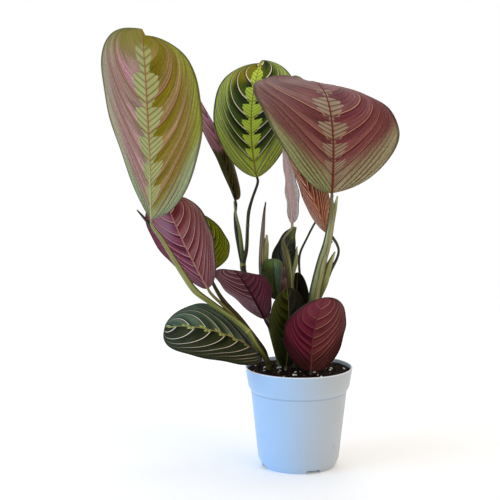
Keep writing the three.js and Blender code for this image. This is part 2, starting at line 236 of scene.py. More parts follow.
stage = {
    "cameraPlace": (-41, -980, 298), "cameraDown": 6.75, "focalPixels": 1190, "photoSide": 500,
    "sensor": 36, "clipStart": 10, "floorSide": 1700, "floor": (246, 246, 246),
    "floorShade": (243, 243, 243), "floorGrain": 3.0, "floorGlow": 0.2, "floorFinish": (0.9, 0.1),
    "world": (255, 255, 255), "seen": 1.0, "shining": 0.34, "aim": (-20, 0, 170),
}
lamps = {
    "windowLight": {"place": (-1500, -700, 700), "size": 1300, "power": 20, "colour": (184, 220, 255)},
    "roomLight": {"place": (1300, -1200, 800), "size": 1100, "power": 11, "colour": (255, 210, 140)},
    "topLight": {"place": (100, 100, 1700), "size": 1500, "power": 13, "colour": (255, 255, 255)},
    "backLight": {"place": (-200, 1300, 800), "size": 1200, "power": 5, "colour": (255, 252, 244)},
}


def makeCamera():
    bpy.ops.object.camera_add(
        location=[value * mm for value in stage["cameraPlace"]],
        rotation=(math.radians(90 - stage["cameraDown"]), 0, 0))
    camera = bpy.context.object
    camera.name = "photoCamera"
    camera.data.sensor_width = stage["sensor"]
    camera.data.lens = stage["focalPixels"] / stage["photoSide"] * stage["sensor"]
    camera.data.clip_start = stage["clipStart"] * mm
    bpy.context.scene.camera = camera


def makeStudio():
    scene = bpy.context.scene
    scene.view_settings.view_transform = "Standard"
    scene.view_settings.look = "None"
    world = bpy.data.worlds.new("studioWorld")
    world.use_nodes = True
    background = world.node_tree.nodes["Background"]
    background.inputs["Color"].default_value = screenColour(*stage["world"])
    seenDirectly = source(world.node_tree, "LightPath", "Is Camera Ray")
    plug(ramp(seenDirectly, 0.0, 1.0, stage["shining"], stage["seen"]), background.inputs["Strength"])
    scene.world = world
    deselectAll()
    bpy.ops.mesh.primitive_plane_add(size=stage["floorSide"] * mm, location=(0, 0, 0))
    floor = bpy.context.object
    floor.name = "studioFloor"
    paper, where, shader = newMaterial("floorPaper", *stage["floorFinish"])
    light = screenColour(*stage["floor"])
    mottling = grain(where, stage["floorGrain"])
    plug(blend(mottling, light, screenColour(*stage["floorShade"])), shader["Base Color"])
    shader["Emission Color"].default_value = light
    shader["Emission Strength"].default_value = stage["floorGlow"]
    floor.data.materials.append(paper)
    for name, lamp in lamps.items():
        place = Vector(lamp["place"]) * mm
        bpy.ops.object.light_add(type="AREA", location=place)
        light = bpy.context.object
        light.name = name
        light.data.size = lamp["size"] * mm
        light.data.energy = lamp["power"]
        light.data.color = screenColour(*lamp["colour"])[:3]
        aim = Vector(stage["aim"]) * mm
        light.rotation_euler = (aim - place).to_track_quat("-Z", "Y").to_euler()


leafForm = {
    "thickness": 0.55, "endHalfWidth": 0.9, "marginWave": 0.9, "waves": 3, "waveLag": 0.3,
    "quilt": 0.8, "quiltStart": (0.02, 0.2), "quiltEnd": (0.8, 1), "notchAlong": (0.8, 1),
    "notchAcross": (0.02, 0.3), "veinSlope": 0.2, "veinBend": 0.45, "rows": 120, "columns": 72,
    "fewestRows": 50, "fewestColumns": 30, "coarsest": 0.45, "fullGridFrom": 40, "smoothAngle": 50,
    "rimFinish": (0.5, 0.4), "rimTones": ((44, 40, 18), (60, 36, 28)), "rimGrain": 60.0,
    "relief": 0.4, "reliefRange": 1.5, "glossLow": 0.06, "glossHigh": 0.14,
}
midribForm = {
    "thick": 0.9, "thin": 0.3, "steps": 48, "sides": 10, "reach": 0.995, "sunk": 0.15, "flat": 0.85,
    "fullSizeFrom": 30,
}
# the size map of a piece counts in this many millimetres
mapUnit = 100
# points of a tube that are nearer than this become one
mergeGap = 0.01
# What each leaf measures, the same as its solid. Veins: how many, how much they bunch at the base
# (small is more), and where the first one starts on the left and the right half.
leaves = {
    "tall_left": {
        "base": (-118, -55, 213), "tip": (-123, -64, 358.3), "bow": (0, 10, 7), "face": (0.44, 0.85, 0.28),
        "half": (44.6, 50.4), "widest": (0.48, 0.64), "fullness": (0.92, 1.17),
        "fold": (10, 15), "curl": (4, 6), "twist": 19, "notch": (4.8, 0), "veins": (6.3, 0.4, 0.4, 0.4)},
    "back_centre": {
        "base": (-35, 40, 240), "tip": (-30.5, 60, 340), "bow": (-7, -14, 4), "face": (-0.35, -0.92, 0.2),
        "half": (34.8, 41.8), "widest": (0.55, 0.55), "fullness": (1.09, 1.29),
        "fold": (1, 4), "curl": (1, 1), "twist": 3, "notch": (4, 0), "veins": (7.5, 0.6, 0.15, 0.15)},
    "broad_right": {
        "base": (23, -52, 233), "tip": (9, 32, 321), "bow": (5, -36, 22), "face": (-0.16, 0.99, -0.03),
        "half": (59.1, 56.8), "widest": (0.35, 0.65), "fullness": (1.16, 0.86),
        "fold": (8, -7), "curl": (6.6, 11.3), "twist": -14, "veins": (6.2, 0.15, 0.22, 0.22)},
    "left_hanging": {
        "base": (-75, -28, 154), "tip": (-109, -33, 228), "bow": (-3, 3, 2), "face": (0.32, 0.91, 0.28),
        "half": (27, 29), "widest": (0.53, 0.56), "fullness": (0.92, 0.92),
        "fold": (1, 12), "curl": (1, 5), "twist": 33, "veins": (8, 0.5, 0, 0.3)},
    "left_behind": {
        "base": (-74, -14, 166), "tip": (-84, -10, 213), "bow": (2, 5, -4), "face": (-0.27, -0.94, 0.19),
        "half": (23, 23), "widest": (0.48, 0.46), "fullness": (0.91, 0.92),
        "fold": (12, 16), "curl": (5, 7), "twist": -7, "veins": (7, 0.5, 0, 0.3)},
    "low_left": {
        "base": (-32, -5, 96), "tip": (-110, -33, 123), "bow": (0, -15, 11), "face": (0.07, -0.78, 0.62),
        "half": (30, 27), "widest": (0.54, 0.42), "fullness": (0.83, 0.91),
        "fold": (11, -8), "curl": (4, -5), "twist": -8, "veins": (6.6, 0.6, 0, 0.3)},
    "centre_small": {
        "base": (-29, -10, 126), "tip": (-54, -22, 168), "bow": (-2, 4, 6), "face": (0.53, 0.81, 0.26),
        "half": (28, 28), "widest": (0.52, 0.61), "fullness": (0.94, 0.93),
        "fold": (-9, 9), "curl": (-5, 3), "twist": 21, "veins": (8, 0.5, 0, 0.2)},
    "front_low": {
        "base": (9, -20, 84), "tip": (19, -37, 148), "bow": (-2, 12, 2), "face": (-0.31, 0.95, 0.1),
        "half": (27, 28), "widest": (0.48, 0.5), "fullness": (0.91, 0.93),
        "fold": (-1, -4), "curl": (-1, -3), "twist": -1, "veins": (8, 0.45, 0, 0.1)},
    "soil_dark": {
        "base": (-11, -6, 85), "tip": (-11, -23, 154), "bow": (2, 2, 4), "face": (0.05, -0.97, 0.23),
        "half": (21, 15), "widest": (0.57, 0.53), "fullness": (0.97, 0.94),
        "fold": (30, 12), "curl": (14, 5), "twist": -8, "veins": (8, 0.5, 0, 0.2)},
    "centre_dark": {
        "base": (-12, 16, 153), "tip": (-2, 17, 199), "bow": (-3, 7, 2), "face": (-0.53, -0.75, 0.39),
        "half": (15, 15), "widest": (0.42, 0.44), "fullness": (1.3, 1.2),
        "fold": (-7, 12), "curl": (-5, 5), "twist": -22, "veins": (7, 0.5, 0, 0.2)},
    "pale_narrow": {
        "base": (-6, 5, 204), "tip": (-13.5, 16, 266), "bow": (2, -1, -3), "face": (0.75, 0.61, 0.25),
        "half": (12, 12), "widest": (0.5, 0.5), "fullness": (0.92, 0.92),
        "fold": (-4, 16), "curl": (-3, 7), "twist": -12, "veins": (5, 0.5, 0, 0.2),
        "veinSlope": 1.2, "quilt": 0.4},
    "red_folded": {
        "base": (21, -26, 199), "tip": (-10, -26, 260), "bow": (2, -7, 1), "face": (0.1, 0.96, 0.26),
        "half": (19, 20), "widest": (0.53, 0.51), "fullness": (0.93, 0.92),
        "fold": (42, 46), "curl": (23, 24), "twist": -15, "veins": (6, 0.5, 0, 0.2), "veinSlope": 0.7},
    "rolled_back": {
        "base": (-54, 62, 219), "tip": (-85, 80, 306), "bow": (3, -7, 2), "face": (0.2, -0.97, 0.13),
        "half": (16, 14), "widest": (0.52, 0.47), "fullness": (0.6, 0.62),
        "fold": (47, 76), "curl": (4, 18), "twist": -48, "veins": (8, 0.5, 0, 0.2)},
    "behind_right": {
        "base": (28, 30, 228), "tip": (7, 72, 323), "bow": (-4, -11, 15), "face": (0.19, -0.98, 0.09),
        "half": (24, 26), "widest": (0.53, 0.55), "fullness": (0.89, 0.89),
        "fold": (13, 11), "curl": (6, 4), "twist": 9, "veins": (8, 0.6, 0, 0.2)},
    "young_green": {
        "base": (-18, -9, 142), "tip": (-22, -10, 176), "bow": (-1, 1, 2), "face": (0, 1, 0.1),
        "half": (11, 11), "widest": (0.52, 0.51), "fullness": (0.9, 0.9),
        "fold": (15, 13), "curl": (6, 5), "twist": -2, "veins": (4, 0.5, 0, 0.2),
        "veinSlope": 1.3, "quilt": 0.25},
    "centre_low": {
        "base": (-1, 9.5, 94), "tip": (-1, 9, 162), "bow": (-1, 1, -2), "face": (0, -0.98, 0.2),
        "half": (13, 13), "widest": (0.47, 0.47), "fullness": (0.92, 0.92),
        "fold": (17, 16), "curl": (8, 7), "twist": 1, "veins": (7, 0.5, 0, 0.2)},
}


def stepBetween(value, low, high):
    share = min(max((value - low) / (high - low), 0), 1)
    return share * share * (3 - 2 * share)


def halfShape(t, widest, fullness):
    if t <= 0 or t >= 1:
        return 0
    return ((t / widest) ** widest * ((1 - t) / (1 - widest)) ** (1 - widest)) ** fullness


def midribAt(leaf, t):
    base, tip = Vector(leaf["base"]), Vector(leaf["tip"])
    control = (base + tip) / 2 + Vector(leaf["bow"]) * 2
    point = base * (1 - t) ** 2 + control * 2 * t * (1 - t) + tip * t ** 2
    tangent = ((control - base) * (1 - t) + (tip - control) * t).normalized()
    return point, tangent


def leafLength(leaf):
    return (Vector(leaf["tip"]) - Vector(leaf["base"])).length


def bladeFrame(leaf, t):
    point, tangent = midribAt(leaf, t)
    face = Vector(leaf["face"])
    flatUp = (face - tangent * face.dot(tangent)).normalized()
    flatSide = tangent.cross(flatUp)
    turn = math.radians(leaf["twist"]) * (t - 0.5)
    up = flatUp * math.cos(turn) + flatSide * math.sin(turn)
    side = flatSide * math.cos(turn) - flatUp * math.sin(turn)
    return point, tangent, up, side


def halfWidth(leaf, t, which):
    shape = halfShape(t, leaf["widest"][which], leaf["fullness"][which])
    return max(leaf["half"][which] * shape, leafForm["endHalfWidth"])


def veinPhase(leaf, t, across, which):
    count, bunch, *shifts = leaf["veins"]
    slope = leaf.get("veinSlope", leafForm["veinSlope"])
    place = t - slope * across - leafForm["veinBend"] * across ** 3
    return count * math.asinh(place / bunch) / math.asinh(1 / bunch) - shifts[which]


def bladePoint(leaf, rowFrame, t, u):
    point, tangent, up, side = rowFrame
    which = 0 if u < 0 else 1
    sign = -1 if u < 0 else 1
    across = abs(u)
    width = halfWidth(leaf, t, which)
    fold = math.radians(leaf["fold"][which])
    curl = math.radians(leaf["curl"][which])
    bend = fold + curl * across
    outward = width / curl * (math.sin(bend) - math.sin(fold))
    upward = width / curl * (math.cos(fold) - math.cos(bend))
    middle = math.sin(math.pi * t)
    swing = math.sin(fullTurn * (leafForm["waves"] * t + leafForm["waveLag"] * which)) * middle
    upward += leafForm["marginWave"] * across ** 2 * swing
    inside = stepBetween(across, *leafForm["quiltStart"]) * (1 - stepBetween(across, *leafForm["quiltEnd"]))
    swell = math.sin(math.pi * (veinPhase(leaf, t, across, which) % 1)) ** 2 - 0.5
    upward += leaf.get("quilt", leafForm["quilt"]) * inside * middle * swell
    atNotch = stepBetween(t, *leafForm["notchAlong"]) * stepBetween(across, *leafForm["notchAcross"])
    back = leaf.get("notch", (0, 0))[which] * atNotch
    return point + side * sign * outward + up * upward - tangent * back


# shapes a grid by a function that gives, for shares across and along, the point and both map places
def shapeSheet(name, columns, rows, pointAt, finishes):
    deselectAll()
    bpy.ops.mesh.primitive_grid_add(x_subdivisions=columns, y_subdivisions=rows, size=1, calc_uvs=True)
    sheet = bpy.context.object
    sheet.name = sheet.data.name = name
    sheet.data.uv_layers[0].name = "pieceMap"
    sheet.data.uv_layers.new(name="sizeMap")
    pieceMap, sizeMap = [sheet.data.uv_layers[title].data for title in ("pieceMap", "sizeMap")]
    maps = []
    for vertex in sheet.data.vertices:
        point, place, size = pointAt(vertex.co.x + 0.5, vertex.co.y + 0.5)
        vertex.co = point * mm
        maps.append((place, [length / mapUnit for length in size]))
    for loop in sheet.data.loops:
        pieceMap[loop.index].uv, sizeMap[loop.index].uv = maps[loop.vertex_index]
    for finish in finishes:
        sheet.data.materials.append(finish)
    return sheet


def makeBlade(name, leaf, finishes):
    scale = min(max(leaf["half"]) / leafForm["fullGridFrom"], 1)
    fineness = leafForm["coarsest"] + (1 - leafForm["coarsest"]) * scale
    columns = max(int(leafForm["columns"] * fineness), leafForm["fewestColumns"])
    rows = max(int(leafForm["rows"] * fineness), leafForm["fewestRows"])
    frames = {}

    def bladeAt(sideways, even):
        u = 2 * sideways - 1
        t = (1 - math.cos(math.pi * even)) / 2
        row = round(even * rows)
        if row not in frames:
            frames[row] = bladeFrame(leaf, t)
        width = halfWidth(leaf, t, 0 if u < 0 else 1)
        return bladePoint(leaf, frames[row], t, u), (sideways, t), (u * width, t * leafLength(leaf))

    blade = shapeSheet("leaf_" + name, columns, rows, bladeAt, finishes)
    solid = blade.modifiers.new("thickness", "SOLIDIFY")
    solid.thickness = leafForm["thickness"] * mm
    solid.offset = 0
    solid.material_offset = 1
    solid.material_offset_rim = 2
    applyModifiers(blade)
    return blade


def makeMidrib(name, leaf, finish):
    slimming = min(max(leaf["half"]) / midribForm["fullSizeFrom"], 1) ** 0.5

    def ribAt(around, along):
        angle = around * fullTurn
        t = midribForm["reach"] * along
        point, tangent, up, side = bladeFrame(leaf, t)
        radius = (midribForm["thick"] * (1 - along) + midribForm["thin"] * along) * slimming
        centre = point - up * (leafForm["thickness"] / 2 + midribForm["sunk"] * radius)
        downward = up * midribForm["flat"] * radius * math.sin(angle)
        point = centre + side * radius * math.cos(angle) - downward
        return point, (0.5, t), (0.0, t * leafLength(leaf))

    return closeTube(shapeSheet(name + "Midrib", midribForm["sides"], midribForm["steps"], ribAt, [finish]))


def closeTube(tube):
    selectOnly(tube)
    startEdit("VERT")
    bpy.ops.mesh.remove_doubles(threshold=mergeGap * mm)
    bpy.ops.mesh.select_all(action="DESELECT")
    bpy.ops.mesh.select_non_manifold()
    bpy.ops.mesh.fill_holes(sides=0)
    endEdit()
    return tube


# one node group draws veins, bands, feather and margin on the leaf's own maps
leafColours = (
    "Tipward", "Basal", "Margin", "Base", "Right Tipward", "Right Basal", "Right Margin", "Right Base",
    "Feather", "Feather Stripe", "Vein", "Vein Shade", "Midrib", "Patch",
)
leafNumbers = {
    "Place": (0.0, 0.0, 0.0), "Size": (0.0, 0.0, 0.0), "Vein Count": 8.0, "Vein Bunch": 0.5,
    "Left Shift": 0.0, "Right Shift": 0.2, "Vein Slope": leafForm["veinSlope"], "Vein Width": 0.05,
    "Vein Show": 1.0, "Vein Sides": (1.0, 1.0, 0.0), "Vein Reach": 0.95, "Vein End": 1.2,
    "Feather Width": 0.25, "Feather Neck": 0.06, "Feather Top": 0.85, "Feather Flare": 0.5,
    "Feather End": 1.2, "Finger": 0.0, "Margin Start": 0.75, "Margin Soft": 0.2, "Streak": 0.5,
    "Band Shift": 0.0, "Blotch": 0.6, "Rim": 0.8, "Base Reach": -2.0, "Midrib Width": 0.9, "Rib Fade": 0.0,
    "Patch Place": (0.0, 0.5, 0.0), "Patch Size": (0.3, 0.3, 1.0), "Patch Show": 0.0, "Patch Core": 0.35,
    "Patch Edge": 0.8,
}
# Ramps run from the first value to the second, and give the third to the fourth. Grain: scale,
# detail, roughness. Lengths are shares of the half width, of the leaf or of the gap between veins.
veinDrawing = {
    "wander": 0.035, "wanderGrain": 4.0, "widerOut": (0.1, 0.9, 1.0, 1.8), "widerLow": (0.05, 0.4, 1.5, 1.0),
    "core": 0.35, "shadeWide": 1.7, "shadeBasal": 1.6, "fadeOut": 0.25, "fadeTip": 0.06,
    "shadeFromRib": (0.02, 0.09), "shadeShow": 0.85, "dimOnFeather": 0.55, "fineCount": 5.0,
    "fineLine": (0.24, 0.44), "fineShow": (0.3, 0.9, 0.1, 0.34), "fineAtBase": 0.95,
    "rim": (0.945, 0.975), "rimTone": (0.35, 0.35, 0.35, 1.0),
}
fieldDrawing = {
    "squeeze": 0.5, "streaks": (3.2, 4.0, 0.62), "softStreaks": (1.3, 1.0),
    "streakLight": (0.3, 0.7, 0.74, 1.22), "bandWander": 1.3, "band": (0.2, 0.9), "blotch": (0.3, 0.85),
    "thinSqueeze": 0.25, "thin": (11.0, 2.0), "thinLight": (0.32, 0.68, 0.8, 1.16),
    "cells": (45.0, 4.0, 0.6), "cellLight": (0.3, 0.7, 0.88, 1.12),
    "baseCurve": 0.25, "baseStreak": 0.3, "baseSoft": 0.09, "patchEnd": 1.1,
}
featherDrawing = {
    "taperLow": (0.0, 0.15, 0.75, 1.0), "taperHigh": (0.6, 1.0, 1.0, 0.6), "roughGrain": (14.0, 3.0),
    "rough": 0.4, "fingers": 4.0, "flare": (-0.15, 0.6), "lobeLean": 0.02, "lobeRough": 0.2,
    "outPower": 5.0, "longPower": 6.0, "lobeEdge": (0.88, 1.1), "neckRough": 0.04, "neckSoft": 0.03,
    "leastWidth": 0.011, "endRough": 0.1, "endSoft": 0.05, "stripeStreak": (0.35, 0.75, 0.0, 0.4),
    "stripe": 0.7,
}
ribDrawing = {
    "narrowing": (0.0, 1.0, 1.0, 0.35), "core": 0.6, "fade": (0.1, 0.5, 1.0, 0.0),
    "veinHeight": 0.8, "fineHeight": 0.35, "skinGrain": (160.0, 2.0), "skinHeight": 0.12,
}


def makeLeafPattern():
    group, given, result = newGroup("leafPattern", leafColours, leafNumbers)
    veins, fields, feathers, ribs = veinDrawing, fieldDrawing, featherDrawing, ribDrawing
    place = parts(given["Place"])
    t = place[1]
    cross = place[0] * 2.0 - 1.0
    across = abs(cross)
    right = above(cross, 0.0)

    def halves(title):
        return blend(right, given[title], given["Right " + title])

    def asinh(value):
        return sums("LOGARITHM", value + sums("SQRT", value * value + 1.0), math.e)

    # main veins run from the midrib outwards and towards the tip
    wander = grain(given["Size"], veins["wanderGrain"]) - 0.5
    vein = t - across * given["Vein Slope"] - across ** 3.0 * leafForm["veinBend"]
    vein = vein + wander * across * veins["wander"]
    counted = asinh(vein / given["Vein Bunch"]) / asinh(1.0 / given["Vein Bunch"])
    shift = given["Left Shift"] + right * (given["Right Shift"] - given["Left Shift"])
    phase = counted * given["Vein Count"] - shift
    turn = sums("FRACT", phase)
    gapToVein = sums("MINIMUM", turn, 1.0 - turn)
    veinWidth = given["Vein Width"] * ramp(across, *veins["widerOut"]) * ramp(t, *veins["widerLow"])
    veinLine = 1.0 - ramp(gapToVein, veinWidth * veins["core"], veinWidth)
    shadeWidth = veinWidth * (above(turn, 0.5) * veins["shadeBasal"] + veins["shadeWide"])
    veinShade = 1.0 - ramp(gapToVein, veinWidth, shadeWidth)
    sides = parts(given["Vein Sides"])
    reach = 1.0 - ramp(across, given["Vein Reach"] - veins["fadeOut"], given["Vein Reach"])
    reach = reach * (1.0 - ramp(vein, given["Vein End"] - veins["fadeTip"], given["Vein End"]))
    reach = reach * (sides[0] + right * (sides[1] - sides[0])) * given["Vein Show"]
    veinLine = veinLine * reach
    veinShade = veinShade * reach

    # fine parallel veins and streaks between the main ones
    fineTurn = sums("FRACT", phase * veins["fineCount"]) - 0.5
    fineLine = ramp(abs(fineTurn), *veins["fineLine"])
    streakPlace = vectorOf(phase, across * fields["squeeze"], right)
    streaks = grain(streakPlace, *fields["streaks"])
    unrest = streaks - 0.5

    # bands: one colour on the tip side of each vein passes to the other before the next vein
    bandTurn = turn + (grain(streakPlace, *fields["softStreaks"]) - 0.5) * fields["bandWander"]
    bandShare = ramp(bandTurn + given["Band Shift"], *fields["band"])
    bandShare = bandShare * (1.0 - ramp(across, *fields["blotch"]) * given["Blotch"])
    field = blend(bandShare, halves("Tipward"), halves("Basal"))
    marginLow = given["Margin Start"] - given["Margin Soft"]
    marginHigh = given["Margin Start"] + given["Margin Soft"]
    marginShare = ramp(across + unrest * given["Streak"], marginLow, marginHigh)
    field = blend(marginShare, field, halves("Margin"))
    baseEdge = vein + across ** 2.0 * fields["baseCurve"] + unrest * fields["baseStreak"]
    baseLow, baseHigh = given["Base Reach"] - fields["baseSoft"], given["Base Reach"] + fields["baseSoft"]
    baseShare = 1.0 - ramp(baseEdge, baseLow, baseHigh)
    field = blend(baseShare, field, halves("Base"))
    thin = grain(vectorOf(phase, across * fields["thinSqueeze"], right), *fields["thin"])
    field = shaded(field, ramp(streaks, *fields["streakLight"]) * ramp(thin, *fields["thinLight"]))
    field = shaded(field, ramp(grain(given["Size"], *fields["cells"]), *fields["cellLight"]))

    # a soft patch where one half is paler or darker; on some leaves it is the leaf's own colouring, on others
    # it paints sheen and highlights
    patchPlace, patchSize = parts(given["Patch Place"]), parts(given["Patch Size"])
    sideways = (cross - patchPlace[0]) / patchSize[0]
    lengthways = (t - patchPlace[1]) / patchSize[1]
    patchEdge = sums("SQRT", sideways * sideways + lengthways * lengthways) + unrest * given["Patch Edge"]
    patchShare = (1.0 - ramp(patchEdge, given["Patch Core"], fields["patchEnd"])) * given["Patch Show"]
    field = blend(patchShare, field, given["Patch"])

    # feather: a lobe on the tip side of each vein, with a narrow neck below the next
    featherReach = given["Feather Width"] * ramp(t, *feathers["taperLow"]) * ramp(t, *feathers["taperHigh"])
    rough = (grain(given["Size"], *feathers["roughGrain"]) - 0.5) * feathers["rough"]
    fingers = fineTurn * fineTurn * given["Finger"] * feathers["fingers"]
    lobeTurn = sums("FRACT", phase + across)
    flare = ramp(lobeTurn, *feathers["flare"], given["Feather Flare"], 1.0)
    outwards = across / (featherReach * flare) + rough + fingers
    halfLobe = given["Feather Top"] / 2.0
    fromMiddle = abs(lobeTurn + rough * feathers["lobeRough"] - (halfLobe - feathers["lobeLean"]))
    roundness = sums("MAXIMUM", outwards, 0.0) ** feathers["outPower"]
    roundness = roundness + (fromMiddle / halfLobe) ** feathers["longPower"]
    lobe = 1.0 - ramp(roundness, *feathers["lobeEdge"])
    neckEnd = given["Feather Neck"] + feathers["neckSoft"]
    neck = 1.0 - ramp(across + rough * feathers["neckRough"], given["Feather Neck"], neckEnd)
    endLow = given["Feather End"] - feathers["endSoft"]
    beforeEnd = 1.0 - ramp(t + rough * feathers["endRough"], endLow, given["Feather End"])
    hasFeather = above(given["Feather Width"], feathers["leastWidth"])
    feather = sums("MAXIMUM", lobe, neck) * hasFeather * beforeEnd
    stripes = fineLine + ramp(streaks, *feathers["stripeStreak"])
    stripes = sums("MULTIPLY", stripes, feathers["stripe"], clamp=True)
    shown = blend(feather, field, blend(stripes, given["Feather"], given["Feather Stripe"]))

    # veins over all of it, dimmer on the feather
    bare = 1.0 - feather * veins["dimOnFeather"]
    shadeShare = veinShade * bare * ramp(across, *veins["shadeFromRib"]) * veins["shadeShow"]
    shown = blend(shadeShare, shown, given["Vein Shade"])
    shown = blend(veinLine * bare, shown, blend(feather, given["Vein"], given["Midrib"]))
    besideVein = ramp(across, *veins["fineShow"]) * (1.0 - veinLine)
    fineShow = sums("MAXIMUM", besideVein, baseShare * veins["fineAtBase"])
    shown = blend(fineLine * fineShow, shown, given["Vein Shade"])
    rimTone = blend(1.0, given["Vein Shade"], veins["rimTone"], "MULTIPLY")
    shown = blend(ramp(across, *veins["rim"]) * given["Rim"], shown, rimTone)

    # midrib, a width in millimetres that narrows to the tip
    fromRib = abs(parts(given["Size"])[0]) * mapUnit
    ribWidth = given["Midrib Width"] * ramp(t, *ribs["narrowing"])
    rib = 1.0 - ramp(fromRib, ribWidth * ribs["core"], ribWidth)
    ribTone = blend(ramp(t, *ribs["fade"]) * given["Rib Fade"], given["Midrib"], given["Base"])
    plug(blend(rib, shown, ribTone), result["Colour"])
    heights = veinLine * ribs["veinHeight"] + fineLine * ribs["fineHeight"] + rib
    plug(heights + grain(given["Size"], *ribs["skinGrain"]) * ribs["skinHeight"], result["Height"])
    return group


def leafMaterial(name, pattern, look):
    gloss = look["gloss"]
    material, shader, sockets, height = patternMaterial(name, pattern, gloss, look["specular"])
    for title, value in look.items():
        if title in leafNumbers:
            sockets[title].default_value = value
        elif title in leafColours:
            sockets[title].default_value = screenColour(*value)
            other = "Right " + title
            if other in leafColours and other not in look:
                sockets[other].default_value = screenColour(*value)
    glossRange = (gloss - leafForm["glossLow"], gloss + leafForm["glossHigh"])
    plug(ramp(height, 0.0, leafForm["reliefRange"], *glossRange), shader["Roughness"])
    relief(shader, height * look.get("relief", 1), leafForm["relief"])
    return material


# A look gives a half of the blade three tones: on the tip side of each vein, on the base side and at
# the margin. Without a right half, both are the left. A patch is a colour, a place, a size and a share.
upperLook = {
    "left": ((72, 84, 0), (30, 34, 0), (150, 166, 76)), "Feather": (178, 190, 66),
    "Feather Stripe": (124, 134, 22), "Vein": (244, 212, 176), "Vein Shade": (20, 14, 0),
    "Midrib": (140, 116, 46), "Vein Width": 0.062, "Feather Width": 0.26, "Feather Top": 0.84,
    "Margin Start": 0.68, "Margin Soft": 0.16, "relief": -1, "gloss": 0.42, "specular": 0.16,
}
darkLook = {
    "left": ((56, 70, 36), (36, 44, 20), (78, 94, 44)), "Feather Stripe": (70, 90, 40),
    "Vein Shade": (12, 14, 2), "Midrib": (140, 134, 84), "Vein Width": 0.055, "Feather Width": 0.0,
    "Feather Neck": 0.0, "Margin Start": 0.95, "Margin Soft": 0.1, "relief": -1, "gloss": 0.36,
    "specular": 0.16,
}
redLook = {
    "left": ((112, 52, 62), (92, 42, 44), (134, 100, 92)), "Vein": (176, 118, 110),
    "Vein Shade": (60, 14, 20), "Midrib": (148, 96, 84), "Feather Width": 0.0, "Margin Start": 0.9,
    "Margin Soft": 0.15, "gloss": 0.52, "specular": 0.08,
}
paleLook = {"Margin Start": 0.72, "gloss": 0.54, "specular": 0.08}

